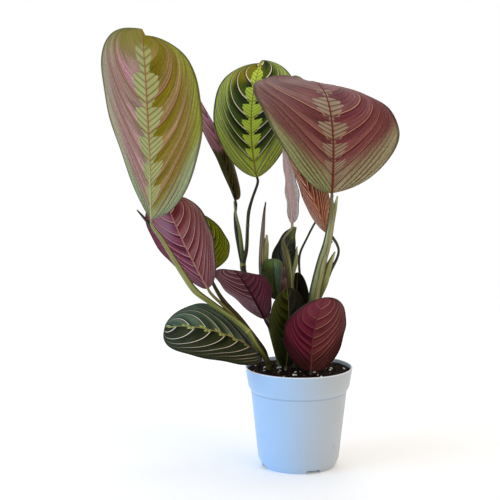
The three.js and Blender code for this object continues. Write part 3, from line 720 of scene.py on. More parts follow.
# what each leaf shows on its two faces, as changes to the plain looks above
leafLooks = {
    "tall_left": {"under": (paleLook, {
        "left": ((164, 128, 78), (124, 108, 8), (154, 156, 62)),
        "right": ((188, 132, 128), (156, 120, 100), (180, 166, 132)), "Streak": 0.6, "Blotch": 0.3,
        "Band Shift": 0.16, "Margin Start": 0.8, "Rim": 0.6, "Feather": (172, 168, 106),
        "Feather Stripe": (128, 118, 62), "Feather Neck": 0.08, "Feather Top": 0.87,
        "Feather Flare": 0.45, "Feather Width": 0.29, "Feather End": 0.92, "Finger": 0.2,
        "Vein": (190, 132, 110), "Vein Shade": (104, 76, 22), "Vein Width": 0.034, "Vein Reach": 0.9,
        "Vein End": 0.77, "Midrib": (166, 112, 78), "Midrib Width": 1.1, "Base": (172, 180, 134),
        "Base Reach": 0.0, "Rib Fade": 0.85, "patch": ((132, 122, 32), (0.2, 1.0), (1.3, 0.22), 0.85)})},
    "back_centre": {"upper": (upperLook, {
        "patch": ((134, 122, 4), (-0.4, 0.9), (0.7, 0.16), 0.85), "Base": (214, 226, 78),
        "Base Reach": 0.1, "Vein Reach": 1.2, "specular": 0.08, "Vein": (252, 224, 190),
        "Vein Width": 0.054, "Feather Width": 0.25, "Feather Flare": 0.55,
        "left": ((70, 86, 12), (24, 34, 2), (174, 192, 74)), "Margin Start": 0.7,
        "Finger": 0.15, "Feather": (190, 206, 72), "Feather Stripe": (146, 158, 34)})},
    "broad_right": {"under": (redLook, {
        "left": ((126, 72, 74), (106, 50, 60), (132, 88, 86)),
        "right": ((126, 82, 78), (106, 54, 56), (136, 108, 84)), "Margin Start": 0.94, "Rim": 0.6,
        "Base": (178, 172, 138), "Right Base": (168, 172, 118), "Base Reach": 0.06, "Vein End": 0.68,
        "Feather": (150, 134, 114), "Feather Stripe": (98, 66, 58), "Feather Neck": 0.02,
        "Feather Width": 0.23, "Feather Top": 0.8, "Feather Flare": 0.55, "Feather End": 0.72,
        "Finger": 0.4, "Vein": (190, 130, 110), "Vein Shade": (44, 14, 14), "Vein Width": 0.036,
        "Midrib": (110, 44, 34), "patch": ((88, 30, 34), (0.1, 0.95), (1.2, 0.3), 0.6)})},
    "left_hanging": {"under": (redLook, {
        "left": ((152, 92, 92), (108, 36, 44), (162, 128, 120)),
        "right": ((136, 62, 84), (90, 14, 40), (130, 60, 76)), "Vein": (222, 168, 160),
        # the patch here is a painted pale sheen towards the tip of one half
        "Midrib": (172, 126, 112), "patch": ((166, 132, 150), (0.45, 0.75), (0.45, 0.28), 0.45)})},
    "left_behind": {"upper": (upperLook, {
        "left": ((148, 166, 0), (110, 126, 0), (158, 172, 0)), "Feather Width": 0.12,
        "Vein": (226, 224, 96), "Vein Shade": (64, 70, 0), "Vein Width": 0.12, "Vein Reach": 1.2,
        "Streak": 0.2, "specular": 0.04})},
    "low_left": {"upper": (darkLook, {
        "Vein Width": 0.045, "Feather Width": 0.12, "Feather Top": 0.5,
        "Feather": (174, 190, 112), "left": ((48, 58, 32), (24, 30, 14), (62, 72, 42)),
        "right": ((98, 120, 96), (50, 68, 52), (120, 138, 110)), "Vein": (250, 240, 222),
        "Midrib": (164, 146, 96), "Midrib Width": 0.8})},
    "centre_small": {"under": (redLook, {
        "left": ((98, 32, 50), (76, 16, 34), (104, 42, 56)),
        "right": ((116, 60, 66), (86, 26, 38), (118, 68, 70)), "Midrib": (40, 2, 10),
        # Right Base here is a painted greyish sheen at the base of one half
        "Base": (98, 34, 50), "Right Base": (166, 120, 128), "Base Reach": 0.22, "Vein": (214, 160, 156),
        "Vein Width": 0.07, "Vein Sides": (0.15, 1.0, 0.0)})},
    "front_low": {"under": (redLook, {
        "left": ((110, 52, 56), (88, 24, 38), (118, 80, 76)),
        "right": ((104, 26, 54), (74, 0, 34), (84, 32, 42)), "Vein": (194, 130, 112),
        "Midrib": (106, 52, 52), "Vein Sides": (1.0, 0.25, 0.0), "Base": (74, 34, 34),
        "Right Base": (50, 8, 24), "Base Reach": 0.14,
        # the patch here is a painted pinkish sheen near the tip
        "patch": ((124, 56, 70), (0.2, 0.95), (1.0, 0.4), 0.7)})},
    "soil_dark": {"upper": (darkLook, {
        "left": ((66, 74, 22), (38, 40, 8), (88, 96, 30)), "Vein": (120, 112, 70), "Vein Show": 0.5,
        "right": ((40, 36, 20), (22, 18, 8), (54, 52, 24))})},
    "centre_dark": {"upper": (darkLook, {
        "left": ((44, 46, 20), (28, 26, 10), (62, 66, 22)), "Vein": (138, 130, 106),
        "patch": ((112, 118, 34), (0.0, 1.0), (2.4, 0.26), 0.9), "Patch Core": 0.75})},
    "pale_narrow": {"under": (paleLook, {
        "left": ((255, 212, 202), (255, 214, 204), (255, 252, 246)), "Feather Width": 0.0,
        "Vein": (255, 244, 236), "Vein Shade": (236, 180, 172), "Midrib": (240, 206, 202)})},
    "red_folded": {"under": (redLook, {
        "left": ((200, 108, 78), (112, 42, 22), (176, 96, 70)), "Vein": (255, 200, 170),
        "Vein Shade": (74, 16, 4), "Midrib": (188, 116, 88), "Vein Width": 0.13, "Vein Reach": 1.2})},
    "rolled_back": {
        "under": (redLook, {
            "left": ((255, 186, 196), (250, 160, 174), (255, 206, 206)), "Vein": (230, 170, 166),
            "Vein Shade": (170, 84, 98), "Midrib": (196, 132, 120)}),
        "upper": (darkLook, {
            "left": ((112, 126, 58), (66, 78, 34), (150, 154, 74)),
            "right": ((178, 142, 86), (108, 74, 36), (206, 196, 112)), "Vein": (214, 200, 140),
            "Vein Width": 0.09, "patch": ((255, 188, 206), (0.0, 1.0), (3.0, 0.52), 1.0),
            "Patch Edge": 0.1, "Patch Core": 0.98})},
    "behind_right": {"upper": (upperLook, {
        "patch": ((116, 152, 52), (0.0, 1.0), (2.0, 0.2), 0.9)})},
    "young_green": {"under": (upperLook, {
        "left": ((84, 116, 88), (30, 46, 38), (92, 116, 88)),
        "right": ((66, 88, 34), (22, 30, 10), (70, 88, 44)), "Feather Width": 0.0,
        "Vein": (70, 84, 52), "Vein Shade": (24, 34, 18), "Vein Show": 0.1, "Midrib": (34, 48, 26),
        # the patch here is a painted highlight, bright green near the tip of the hooded leaf
        "patch": ((112, 142, 70), (0.2, 0.95), (1.6, 0.3), 0.85), "Base": (104, 52, 72),
        "Right Base": (44, 58, 34), "Base Reach": -0.35, "relief": 1, "gloss": 0.22, "specular": 0.6})},
    "centre_low": {"upper": (darkLook, {
        "Tipward": (36, 36, 20), "Basal": (22, 20, 10), "Vein": (72, 70, 52)})},
}
leafSlots = {
    "leaf_pale_under": ("tall_left", "pale_narrow"),
    "leaf_red_under": ("broad_right", "left_hanging", "centre_small", "front_low", "red_folded"),
    "leaf_dark_upper": ("low_left", "soil_dark", "centre_dark", "rolled_back", "centre_low"),
    "leaf_upper": ("back_centre", "left_behind", "behind_right", "young_green"),
}


def spellOut(look):
    full = dict(look)
    full.update(zip(("Tipward", "Basal", "Margin"), full.pop("left", ())))
    full.update(zip(("Right Tipward", "Right Basal", "Right Margin"), full.pop("right", ())))
    if "patch" in full:
        full["Patch"], place, size, full["Patch Show"] = full.pop("patch")
        full["Patch Place"] = (*place, 0.0)
        full["Patch Size"] = (*size, 1.0)
    return full


def makeLeaves():
    pattern = makeLeafPattern()
    plainLooks = {"upper": (upperLook, {}), "under": (redLook, {})}
    rim, where, shader = newMaterial("leafRim", *leafForm["rimFinish"])
    tones = [screenColour(*tone) for tone in leafForm["rimTones"]]
    plug(blend(grain(where, leafForm["rimGrain"]), *tones), shader["Base Color"])
    slotOf = {name: slot for slot, names in leafSlots.items() for name in names}
    for name, leaf in leaves.items():
        drawn = dict(zip(("Vein Count", "Vein Bunch", "Left Shift", "Right Shift"), leaf["veins"]))
        drawn["Vein Slope"] = leaf.get("veinSlope", leafForm["veinSlope"])
        faces = []
        for side, plain in plainLooks.items():
            base, changes = leafLooks[name].get(side, plain)
            look = {**spellOut(base), **spellOut(changes), **drawn}
            faces.append(leafMaterial(name + side.capitalize(), pattern, look))
        blade = makeBlade(name, leaf, [*faces, rim])
        rib = makeMidrib(name, leaf, faces[1])
        joinInto(blade, [rib])
        smoothBelow(blade, leafForm["smoothAngle"])
        placeInFrame(blade, "root", slotOf[name], "leaf_" + name)
    print("leaves:", len(leaves))


shoots = {
    "shoot_left": {
        "foot": (-25, -4), "footRadius": 2.6,
        "stalks": [
            {"leaf": "tall_left", "look": "limeStalk", "points": [
                (-26, -5, 88, 2.4), (-31, -13, 98, 2.4), (-37, -19, 108, 2.4), (-43, -25, 119, 2.7),
                (-53, -26, 128, 2.3), (-64, -27, 136, 2.2), (-75, -28, 144, 2.3), (-85, -30, 152, 2.6),
                (-94, -36, 166, 2.3), (-103, -42, 182, 2), (-111, -48, 197, 1.8)]},
            {"leaf": "left_hanging", "look": "oliveStalk", "points": [
                (-43, -25, 119, 1.6), (-53, -26, 130, 1.4), (-63, -26, 140, 1.3)]},
            {"leaf": "left_behind", "look": "darkStalk", "points": [
                (-26, -5, 88, 1.8), (-29, -12, 99, 1.9), (-35, -18, 109, 1.9), (-42, -21, 119, 1.8),
                (-50, -21, 129, 1.9), (-58, -20, 137, 2.1), (-66, -18, 147, 1.7)]},
            {"leaf": "low_left", "look": "oliveStalk", "points": [(-26, -5, 87, 1.5)]},
            {"look": "darkStalk", "points": [
                (-107, -45, 191, 1), (-117, -51, 205, 1.5), (-124, -54, 214, 1.1), (-129, -56, 220, 0.5)]},
        ]},
    "shoot_back": {
        "foot": (-14, 18), "footRadius": 2.4,
        "stalks": [
            {"leaf": "back_centre", "look": "purpleStalk", "points": [
                (-15, 17, 92, 2.4), (-22, 16, 112, 2.3), (-31, 17, 129, 2.2), (-39, 20, 145, 2.3),
                (-47, 24, 164, 2.5), (-44, 28, 179, 1.6), (-43, 33, 200, 1.4), (-42, 36, 211, 1.5),
                (-39, 38, 222, 1.2)]},
            {"leaf": "rolled_back", "look": "darkStalk", "points": [
                (-47, 24, 164, 1.7), (-50, 32, 178, 1.6), (-53, 43, 194, 1.5), (-54, 53, 207, 1.3)]},
            {"look": "limeStalk", "points": [
                (-46, 24, 164, 1.9), (-48, 31, 178, 2), (-50, 40, 193, 1.7), (-53, 48, 206, 1.2),
                (-55, 55, 218, 0.5)]},
        ]},
    "shoot_centre": {
        "foot": (-2, 4), "footRadius": 2.8,
        "stalks": [
            {"leaf": "pale_narrow", "look": "sheathStalk", "points": [
                (-3, 3, 97, 2.6), (-5, 2, 127, 3.1), (-7.3, 1, 148, 3.2), (-8.8, 0, 165, 3.7),
                (-11.2, 0, 180, 3.1), (-13.2, 1.4, 187, 2.2), (-12.8, 2, 191.5, 1.1),
                (-9, 3.4, 196.5, 1)]},
            {"leaf": "centre_dark", "look": "darkStalk", "points": [
                (-2, 4, 86, 1.8), (-4, 14, 97, 1.6), (-9, 17, 124, 1.4)]},
            {"leaf": "centre_low", "look": "darkStalk", "points": [(-2, 4, 84, 1.7)]},
            {"leaf": "young_green", "look": "oliveStalk", "points": [(-3, 3, 97, 1.6), (-9, -3, 119, 1.4)]},
            {"leaf": "centre_small", "look": "darkStalk", "points": [
                (-2, 4, 86, 1.7), (-9, 3, 95, 1.6), (-19, 0, 109, 1.5)]},
            {"leaf": "behind_right", "look": "purpleStalk", "points": [
                (-2, 4, 86, 1.8), (2, 16, 98, 1.5), (4, 20, 124, 1.3), (2, 20, 150, 1.1),
                (1, 20, 175, 1), (7, 22, 189, 0.9), (15, 24, 204, 0.9)]},
            {"look": "creamStalk", "points": [
                (-7, 1, 148, 2.2), (-6, 0, 161, 2.2), (-3, 0, 172, 1.9), (-2, 0, 185, 0.5)]},
        ]},
    "shoot_right": {
        "foot": (8, 3), "footRadius": 3.1,
        "stalks": [
            {"leaf": "broad_right", "look": "greyStalk", "points": [
                (8, 0, 102, 3.4), (10, -6, 128, 4.2), (12, -11, 146, 4.6), (15, -17, 163, 4.4),
                (18, -23, 178, 3.9), (21, -30, 191, 3.4), (23, -35, 204, 3), (24, -40, 216, 2.6)]},
            {"leaf": "red_folded", "look": "darkStalk", "points": [(24, -30, 192, 1.5)]},
            {"look": "darkStalk", "points": [
                (9, 1, 102, 2.4), (14, -7, 141, 2.6), (20, -12, 154, 1.9), (25, -16, 167, 1.4),
                (30, -19, 178, 1.1), (31, -21, 184, 1), (29, -25, 190, 1.1), (25, -31, 196, 1.3)]},
            {"look": "creamStalk", "points": [
                (15, -8, 144, 3.4), (20, -13, 157, 3.4), (23.5, -17, 171, 2.8), (28, -20, 183, 0.6)]},
            {"look": "creamStalk", "points": [(24, -36, 209, 2.6), (26, -40, 219, 1.9), (28, -44, 230, 0.6)]},
        ]},
    "spear": {
        "foot": (-16, 8), "footRadius": 1.9,
        "stalks": [
            {"look": "spearSkin", "points": [
                (-20, 6, 101, 2.2), (-27, 1, 131, 2.6), (-30, -1, 153, 2.7), (-31, -2, 170, 2.8),
                (-31, -1, 186, 2.2), (-30, 0, 203, 1.6), (-29, 0, 215, 1), (-28, 0, 222, 0.5)]},
            {"look": "creamStalk", "points": [
                (-30, -1, 153, 2.6), (-28.6, -2, 172, 2.9), (-27.6, -2, 187, 2.3), (-27, -2, 195, 0.6)]},
        ]},
    "stalk_front": {"foot": (9, -21.5), "footRadius": 1.5, "stalks": [
        {"leaf": "front_low", "look": "darkStalk", "points": []}]},
    "stalk_dark": {"foot": (-11, -5), "footRadius": 1.6, "stalks": [
        {"leaf": "soil_dark", "look": "oliveStalk", "points": []}]},
}
# pale swollen joints: place, direction and radius
knuckles = {
    "shoot_left": [((-43, -25, 119), (-1, -0.2, 1), 3.1)],
    "shoot_back": [((-47, 24.5, 166), (-0.2, 0.2, 1), 2.7), ((-43, 33, 199), (0.1, 0.2, 1), 1.7)],
}
stalkForm = {
    "sides": 16, "rowsPerSpan": 5, "endRadius": 1, "joinRadius": 1.15, "beforeLeaf": 4, "intoLeaf": 0.6,
    "holeDepth": 7, "footRise": 0.8, "ribCount": 9, "ribs": 0.03, "slopeStep": 0.002, "relief": 0.3,
    "knuckleHalf": 2.6, "knuckleTaper": 0.25, "smoothAngle": 60, "leastGap": 0.0001, "finish": (0.42, 0.3),
}
# the five tones of each stalk: low, middle and high along it, dark lines (also used as painted shade along
# both sides) and light streaks
stalkTones = ("Low", "Middle", "High", "Line", "Light")
stalkLooks = {
    "limeStalk": ((62, 62, 22), (130, 138, 68), (158, 156, 106), (40, 42, 4), (176, 184, 104)),
    "oliveStalk": ((58, 54, 18), (112, 106, 52), (140, 122, 74), (34, 28, 6), (160, 156, 84)),
    "darkStalk": ((36, 32, 16), (50, 42, 24), (66, 50, 32), (14, 10, 4), (98, 88, 50)),
    "purpleStalk": ((98, 106, 36), (70, 66, 28), (58, 34, 28), (20, 10, 4), (124, 118, 60)),
    "creamStalk": ((86, 98, 38), (144, 152, 88), (194, 198, 146), (54, 56, 18), (226, 220, 182)),
    "sheathStalk": ((54, 60, 18), (104, 104, 56), (172, 168, 118), (36, 28, 12), (222, 212, 172)),
    "greyStalk": ((92, 110, 26), (148, 150, 102), (96, 84, 46), (48, 44, 14), (196, 200, 156)),
    "spearSkin": ((108, 108, 60), (170, 152, 138), (62, 18, 18), (46, 14, 8), (186, 180, 164)),
    "jointSkin": ((110, 108, 48), (156, 154, 84), (110, 104, 48), (84, 80, 30), (176, 176, 104)),
}
stalkDrawing = {
    "lowEnd": (0.05, 0.45), "highStart": (0.55, 1.0), "around": 1.4, "along": 0.9,
    "streaks": (3.0, 3.0, 0.6), "lines": (0.5, 0.66, 0.0, 0.9), "lights": (0.45, 0.32, 0.0, 0.7),
    "paintedSideShade": (0.72, 0.97, 0.0, 0.9), "fine": (11.0, 2.0), "fineLight": (0.3, 0.7, 0.85, 1.15),
    "fineHeight": 0.5,
}
soilShape = {"edgeHeight": 81, "mound": 1, "rimRadius": 45}


def soilHeight(x, y):
    share = min(math.hypot(x, y) / soilShape["rimRadius"], 1)
    return soilShape["edgeHeight"] + soilShape["mound"] * (1 - share ** 2)


def curveAt(points, along):
    spans = len(points) - 1
    place = along * spans
    span = min(int(place), spans - 1)
    part = place - span
    second, third = points[span], points[span + 1]
    first = points[span - 1] if span > 0 else second * 2 - third
    fourth = points[span + 2] if span + 2 < len(points) else third * 2 - second
    pairs = ((first, second), (second, third), (third, fourth))
    gaps = [max((end - start).length ** 0.5, stalkForm["leastGap"]) for start, end in pairs]
    leave = ((second - first) / gaps[0] - (third - first) / (gaps[0] + gaps[1])
             + (third - second) / gaps[1]) * gaps[1]
    arrive = ((third - second) / gaps[1] - (fourth - second) / (gaps[1] + gaps[2])
              + (fourth - third) / gaps[2]) * gaps[1]
    square = second * -3 + third * 3 - leave * 2 - arrive
    cube = second * 2 - third * 2 + leave + arrive
    return second + leave * part + square * part ** 2 + cube * part ** 3


def tubeAlong(name, points, finish):
    places = [Vector(point[:3]) for point in points]
    spans = len(points) - 1
    rows = spans * stalkForm["rowsPerSpan"]
    frames = []
    across = None
    for row in range(rows + 1):
        along = row / rows
        centre = curveAt(places, along)
        ahead = curveAt(places, min(along + stalkForm["slopeStep"], 1))
        behind = curveAt(places, max(along - stalkForm["slopeStep"], 0))
        tangent = (ahead - behind).normalized()
        if across is None:
            across = tangent.cross(Vector((0, 1, 0)))
        across = (across - tangent * across.dot(tangent)).normalized()
        span = min(int(along * spans), spans - 1)
        part = along * spans - span
        radius = points[span][3] * (1 - part) + points[span + 1][3] * part
        frames.append((centre, across.copy(), tangent.cross(across), radius))
    length = sum((places[i + 1] - places[i]).length for i in range(spans))

    def tubeAt(around, along):
        angle = around * fullTurn
        centre, sideways, upwards, radius = frames[round(along * rows)]
        wide = radius * (1 + stalkForm["ribs"] * math.cos(stalkForm["ribCount"] * angle))
        point = centre + sideways * wide * math.cos(angle) + upwards * wide * math.sin(angle)
        return point, (around, along), (angle * radius, along * length)

    return closeTube(shapeSheet(name, stalkForm["sides"], rows, tubeAt, [finish]))


def makeStalkPattern():
    maps = {"Place": (0.0, 0.0, 0.0), "Size": (0.0, 0.0, 0.0)}
    group, given, result = newGroup("stalkPattern", stalkTones, maps)
    place, size, draw = parts(given["Place"]), parts(given["Size"]), stalkDrawing
    body = blend(ramp(place[1], *draw["lowEnd"]), given["Low"], given["Middle"])
    body = blend(ramp(place[1], *draw["highStart"]), body, given["High"])
    angle = place[0] * fullTurn
    flank, front = sums("COSINE", angle), sums("SINE", angle)
    streakPlace = vectorOf(flank * draw["around"], front * draw["around"], size[1] * draw["along"])
    streaks = grain(streakPlace, *draw["streaks"])
    body = blend(ramp(streaks, *draw["lines"]), body, given["Line"])
    body = blend(ramp(streaks, *draw["lights"]), body, given["Light"])
    # painted shade: both sides of each stalk darkened with the line tone
    body = blend(ramp(abs(flank), *draw["paintedSideShade"]), body, given["Line"])
    fine = grain(streakPlace, *draw["fine"])
    plug(shaded(body, ramp(fine, *draw["fineLight"])), result["Colour"])
    plug(streaks + fine * draw["fineHeight"], result["Height"])
    return group


def makeStalks():
    pattern = makeStalkPattern()
    finishes = {}
    for name, tones in stalkLooks.items():
        finishes[name], shader, sockets, height = patternMaterial(name, pattern, *stalkForm["finish"])
        for title, tone in zip(stalkTones, tones):
            sockets[title].default_value = screenColour(*tone)
        relief(shader, height, stalkForm["relief"])
    for name, shoot in shoots.items():
        x, y = shoot["foot"]
        ground = soilHeight(x, y)
        tubes = []
        for index, stalk in enumerate(shoot["stalks"]):
            points = list(stalk["points"])
            if index == 0:
                depths = (-stalkForm["holeDepth"], stalkForm["footRise"])
                points = [(x, y, ground + depth, shoot["footRadius"]) for depth in depths] + points
            if "leaf" in stalk:
                point, tangent = midribAt(leaves[stalk["leaf"]], 0)
                if len(shoot["stalks"]) > 1:
                    points.append((*(point - tangent * stalkForm["beforeLeaf"]), stalkForm["joinRadius"]))
                points.append((*(point + tangent * stalkForm["intoLeaf"]), stalkForm["endRadius"]))
            tubes.append(tubeAlong(name + "Stalk" + str(index), points, finishes[stalk["look"]]))
        for place, direction, radius in knuckles.get(name, []):
            step = Vector(direction).normalized() * stalkForm["knuckleHalf"]
            ends = [(*(Vector(place) + step * k), radius * (1 - stalkForm["knuckleTaper"] * abs(k)))
                    for k in (-1, 0, 1)]
            tubes.append(tubeAlong(name + "Joint", ends, finishes["jointSkin"]))
        piece = joinInto(tubes[0], tubes[1:])
        piece.name = piece.data.name = name + "Green"
        smoothBelow(piece, stalkForm["smoothAngle"])
        placeInFrame(piece, "root", "young_sheath" if name == "spear" else "stem", name)
    print("stalks:", len(shoots))


potForm = {
    "outline": [(30.5, 0), (34, 7), (40.2, 64), (42.4, 68), (45, 84)], "wall": 1.3, "sides": 160,
    "slotCount": 4, "slotWide": 12, "slotHigh": 2.6, "slotDeep": 8, "slotInset": 2, "slotFirst": -69,
    "rimRound": 0.5, "edgeRound": 0.35, "roundSteps": 3, "ringHeightBand": 0.02, "ringRadiusBand": 0.2,
    "smoothAngle": 35,
}
# heights and distances in the ramps are millimetres
potLook = {
    # left and right: the plastic is painted bluish on the left side as painted light and greyer on the right
    # as painted shade
    "left": (166, 200, 236), "right": (178, 188, 198), "scuff": (112, 136, 170), "rim": (226, 234, 244),
    "bandShade": (132, 154, 186), "paintedSideLight": (-25, 45), "paintedSideLightGrain": (18.0, 2.0), "paintedSideLightUnrest": 10,
    # rim: a paler band on top of the lip, a painted highlight
    "rimHighlightFrom": (82.8, 83.6, 0.0, 0.9), "bandLow": (62.8, 63.6), "bandHigh": (64.8, 64.0), "bandShow": 0.6,
    "scuffGrain": (130.0, 5.0, 0.7), "scuffs": (0.62, 0.72), "patchGrain": (22.0, 2.0),
    "patches": (0.5, 0.68), "scuffShow": 0.5, "fine": (900.0, 2.0), "gloss": (0.2, 0.8, 0.34, 0.46),
    "relief": 0.06, "finish": (0.38, 0.5),
}


# turns a closed route of rings, each a radius and a height, into a solid
def turnedSolid(name, sides, route):
    deselectAll()
    bpy.ops.mesh.primitive_circle_add(
        vertices=sides, radius=route[0][0] * mm, fill_type="NGON", location=(0, 0, route[0][1] * mm))
    solid = bpy.context.object
    solid.name = solid.data.name = name
    startEdit("EDGE")
    for (radius, height), (nextRadius, nextHeight) in zip(route, route[1:]):
        rise = (nextHeight - height) * mm
        bpy.ops.mesh.extrude_edges_move(TRANSFORM_OT_translate={"value": (0, 0, rise)})
        share = nextRadius / radius
        bpy.ops.transform.resize(value=(share, share, 1), center_override=(0, 0, 0))
    bpy.ops.mesh.edge_face_add()
    endEdit()
    return solid


def roundEdges(piece, radius, height, offset):
    selectOnly(piece)
    startEdit("EDGE", "DESELECT")
    bpy.ops.object.mode_set(mode="OBJECT")
    onRing = set()
    for vertex in piece.data.vertices:
        x, y, z = vertex.co / mm
        if abs(z - height) < potForm["ringHeightBand"]:
            if abs(math.hypot(x, y) - radius) < potForm["ringRadiusBand"]:
                onRing.add(vertex.index)
    for edge in piece.data.edges:
        edge.select = onRing.issuperset(edge.vertices)
    bpy.ops.object.mode_set(mode="EDIT")
    bpy.ops.mesh.bevel(offset=offset * mm, segments=potForm["roundSteps"], affect="EDGES")
    bpy.ops.object.mode_set(mode="OBJECT")


def potPlastic():
    plastic, where, shader = newMaterial("potPlastic", *potLook["finish"])
    tones = {name: screenColour(*potLook[name]) for name in ("left", "right", "scuff", "rim", "bandShade")}
    scuffs = ramp(grain(where, *potLook["scuffGrain"]), *potLook["scuffs"])
    scuffs = scuffs * ramp(grain(where, *potLook["patchGrain"]), *potLook["patches"])
    x, y, z = [axis / mm for axis in parts(where)]
    # painted light and shade across the pot: bluish painted light on the left side, greyer painted shade on
    # the right
    paintedSideLight = x + grain(where, *potLook["paintedSideLightGrain"]) * potLook["paintedSideLightUnrest"]
    shown = blend(ramp(paintedSideLight, *potLook["paintedSideLight"]), tones["left"], tones["right"])
    # painted highlight: a paler band on top of the lip
    shown = blend(ramp(z, *potLook["rimHighlightFrom"]), shown, tones["rim"])
    underBand = ramp(z, *potLook["bandLow"]) * ramp(z, *potLook["bandHigh"])
    shown = blend(underBand * potLook["bandShow"], shown, tones["bandShade"])
    plug(blend(scuffs * potLook["scuffShow"], shown, tones["scuff"]), shader["Base Color"])
    fine = grain(where, *potLook["fine"])
    plug(ramp(fine, *potLook["gloss"]), shader["Roughness"])
    relief(shader, fine, potLook["relief"])
    return plastic


def makePot():
    outline = potForm["outline"]
    wall = potForm["wall"]
    inside = [(radius - wall, wall if i == 0 else height) for i, (radius, height) in enumerate(outline)]
    pot = turnedSolid("nurseryPot", potForm["sides"], outline + inside[::-1])
    cutters = []
    reach = (outline[0][0] + potForm["slotDeep"] / 2 - potForm["slotInset"]) * mm
    for index in range(potForm["slotCount"]):
        angle = math.radians(potForm["slotFirst"] + 360 / potForm["slotCount"] * index)
        bpy.ops.mesh.primitive_cube_add(
            size=1, location=(reach * math.cos(angle), reach * math.sin(angle), 0), rotation=(0, 0, angle),
            scale=(potForm["slotDeep"] * mm, potForm["slotWide"] * mm, potForm["slotHigh"] * 2 * mm))
        cutters.append(bpy.context.object)
    cutter = joinInto(cutters[0], cutters[1:])
    cut = pot.modifiers.new("slots", "BOOLEAN")
    cut.operation = "DIFFERENCE"
    cut.object = cutter
    applyModifiers(pot)
    selectOnly(cutter)
    bpy.ops.object.delete()
    for ring in (outline[-1], inside[-1]):
        roundEdges(pot, *ring, potForm["rimRound"])
    for ring in outline[2:4]:
        roundEdges(pot, *ring, potForm["edgeRound"])
    smoothBelow(pot, potForm["smoothAngle"])
    pot.data.materials.append(potPlastic())
    placeInFrame(pot, "root", "pot_plastic", "pot")
    print("pot:", len(pot.data.polygons), "faces")


soilForm = {
    "rings": 26, "sides": 120, "lump": 1.1, "lumpSize": 7, "fine": 0.5, "fineSize": 2.2, "calmBand": 3,
    "lumpAtWall": 0.35, "wallGap": 0.15, "levels": (64, 7, 1.6), "lowestLevel": 1.4, "topBand": 1,
    "grainDetail": (5.0, 0.65), "tones": (0.35, 0.7), "specular": 0.08, "relief": 0.8,
    "finish": ("darkSoil", (6, 3, 2), (40, 24, 16), 260.0),
}
soilBits = {
    "soilCrumbs": {"count": 720, "sizes": (0.5, 1.7), "stretch": (1, 1, 0.7), "seed": 11,
                   "finish": ("crumbSoil", (5, 3, 2), (52, 32, 22), 300.0)},
    "barkBits": {"count": 60, "sizes": (1.2, 3.2), "stretch": (1, 0.5, 0.3), "seed": 12,
                 "finish": ("bark", (44, 24, 16), (150, 112, 86), 180.0)},
    "perliteBits": {"count": 52, "sizes": (0.6, 3.0), "stretch": (1, 0.9, 0.8), "seed": 13,
                    "finish": ("perlite", (214, 212, 204), (255, 254, 250), 200.0, 0.8)},
}
bitForm = {"shapes": 4, "rough": 0.45, "roughSize": 1.3, "apart": 7, "fromWall": 1.5, "lift": 0.15,
           "spin": 6.28, "lean": 0.7}


def potInnerRadius(height):
    inside = [(radius - potForm["wall"], rise) for radius, rise in potForm["outline"]]
    for (lowRadius, low), (highRadius, high) in zip(inside, inside[1:]):
        if height <= high:
            return lowRadius + (highRadius - lowRadius) * (height - low) / (high - low)
    return inside[-1][0]


def soilSurface(x, y):
    where = Vector((x, y, 0))
    reach = potInnerRadius(soilShape["edgeHeight"])
    calm = 1 - stepBetween(math.hypot(x, y), reach - soilForm["calmBand"], reach)
    lump = noise.noise(where / soilForm["lumpSize"]) * soilForm["lump"]
    lump += noise.noise(where / soilForm["fineSize"]) * soilForm["fine"]
    return soilHeight(x, y) + lump * (soilForm["lumpAtWall"] + (1 - soilForm["lumpAtWall"]) * calm)


def soilMaterial(name, dark, light, scale, roughness=0.95):
    material, where, shader = newMaterial(name, roughness, soilForm["specular"])
    spots = grain(where, scale, *soilForm["grainDetail"])
    colour = blend(ramp(spots, *soilForm["tones"]), screenColour(*dark), screenColour(*light))
    plug(colour, shader["Base Color"])
    relief(shader, spots, soilForm["relief"])
    return material


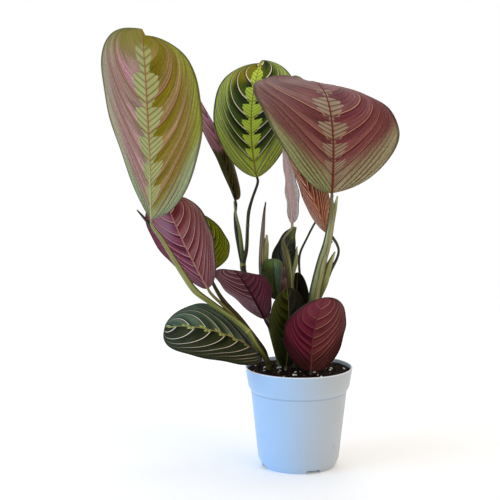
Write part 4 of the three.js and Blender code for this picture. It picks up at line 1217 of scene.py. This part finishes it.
def makeSoil():
    levels = [soilShape["edgeHeight"], *soilForm["levels"]]
    radii = [potInnerRadius(max(level, soilForm["lowestLevel"])) - soilForm["wallGap"] for level in levels]
    soil = turnedSolid("soilBed", soilForm["sides"], list(zip(radii, levels)))
    ringStep = radii[0] * mm / (soilForm["rings"] + 1)
    startEdit("FACE", "DESELECT")
    bpy.ops.object.mode_set(mode="OBJECT")
    top = max(soil.data.polygons, key=lambda face: (round(face.center.z, 5), face.area))
    top.select = True
    bpy.ops.object.mode_set(mode="EDIT")
    for ring in range(soilForm["rings"]):
        bpy.ops.mesh.inset(thickness=ringStep, use_even_offset=False)
    bpy.ops.mesh.poke()
    endEdit()
    bpy.ops.object.transform_apply(location=True, rotation=True, scale=True)
    for vertex in soil.data.vertices:
        if vertex.co.z > (soilShape["edgeHeight"] - soilForm["topBand"]) * mm:
            vertex.co.z = soilSurface(vertex.co.x / mm, vertex.co.y / mm) * mm
    bpy.ops.object.shade_smooth()
    soil.data.materials.append(soilMaterial(*soilForm["finish"]))
    placeInFrame(soil, "root", "soil", "soil")
    for name, kind in soilBits.items():
        scatterBits(name, kind)
    print("soil: done")


def scatterBits(name, kind):
    draw = random.Random(kind["seed"])
    shapes = []
    for index in range(bitForm["shapes"]):
        deselectAll()
        bpy.ops.mesh.primitive_ico_sphere_add(subdivisions=2, radius=1)
        lump = bpy.context.object
        for vertex in lump.data.vertices:
            where = vertex.co * bitForm["roughSize"] + Vector((index * bitForm["apart"], 0, 0))
            vertex.co *= 1 + bitForm["rough"] * noise.noise(where)
        shapes.append(lump)
    reach = potInnerRadius(soilShape["edgeHeight"]) - bitForm["fromWall"]
    bits = []
    for index in range(kind["count"]):
        bit = shapes[index % len(shapes)].copy()
        bit.data = bit.data.copy()
        bpy.context.collection.objects.link(bit)
        size = draw.uniform(*kind["sizes"]) / 2
        distance = (reach - size) * math.sqrt(draw.random())
        angle = draw.uniform(0, fullTurn)
        x, y = distance * math.cos(angle), distance * math.sin(angle)
        place = Vector((x, y, soilSurface(x, y) + size * bitForm["lift"])) * mm
        spin = Matrix.Rotation(draw.uniform(0, bitForm["spin"]), 4, "Z")
        lean = Matrix.Rotation(draw.uniform(-bitForm["lean"], bitForm["lean"]), 4, "X")
        scale = Matrix.Diagonal((*[size * share * mm for share in kind["stretch"]], 1))
        bit.matrix_world = Matrix.Translation(place) @ spin @ lean @ scale
        bits.append(bit)
    selectOnly(shapes[0], shapes[1:])
    bpy.ops.object.delete()
    piece = joinInto(bits[0], bits[1:])
    piece.name = piece.data.name = name
    piece.data.materials.append(soilMaterial(*kind["finish"]))
    bpy.ops.object.shade_flat()
    placeInFrame(piece, "root", "soil")


makeCamera()
makeStudio()
print("studio ready")
makePot()
makeSoil()
makeStalks()
makeLeaves()
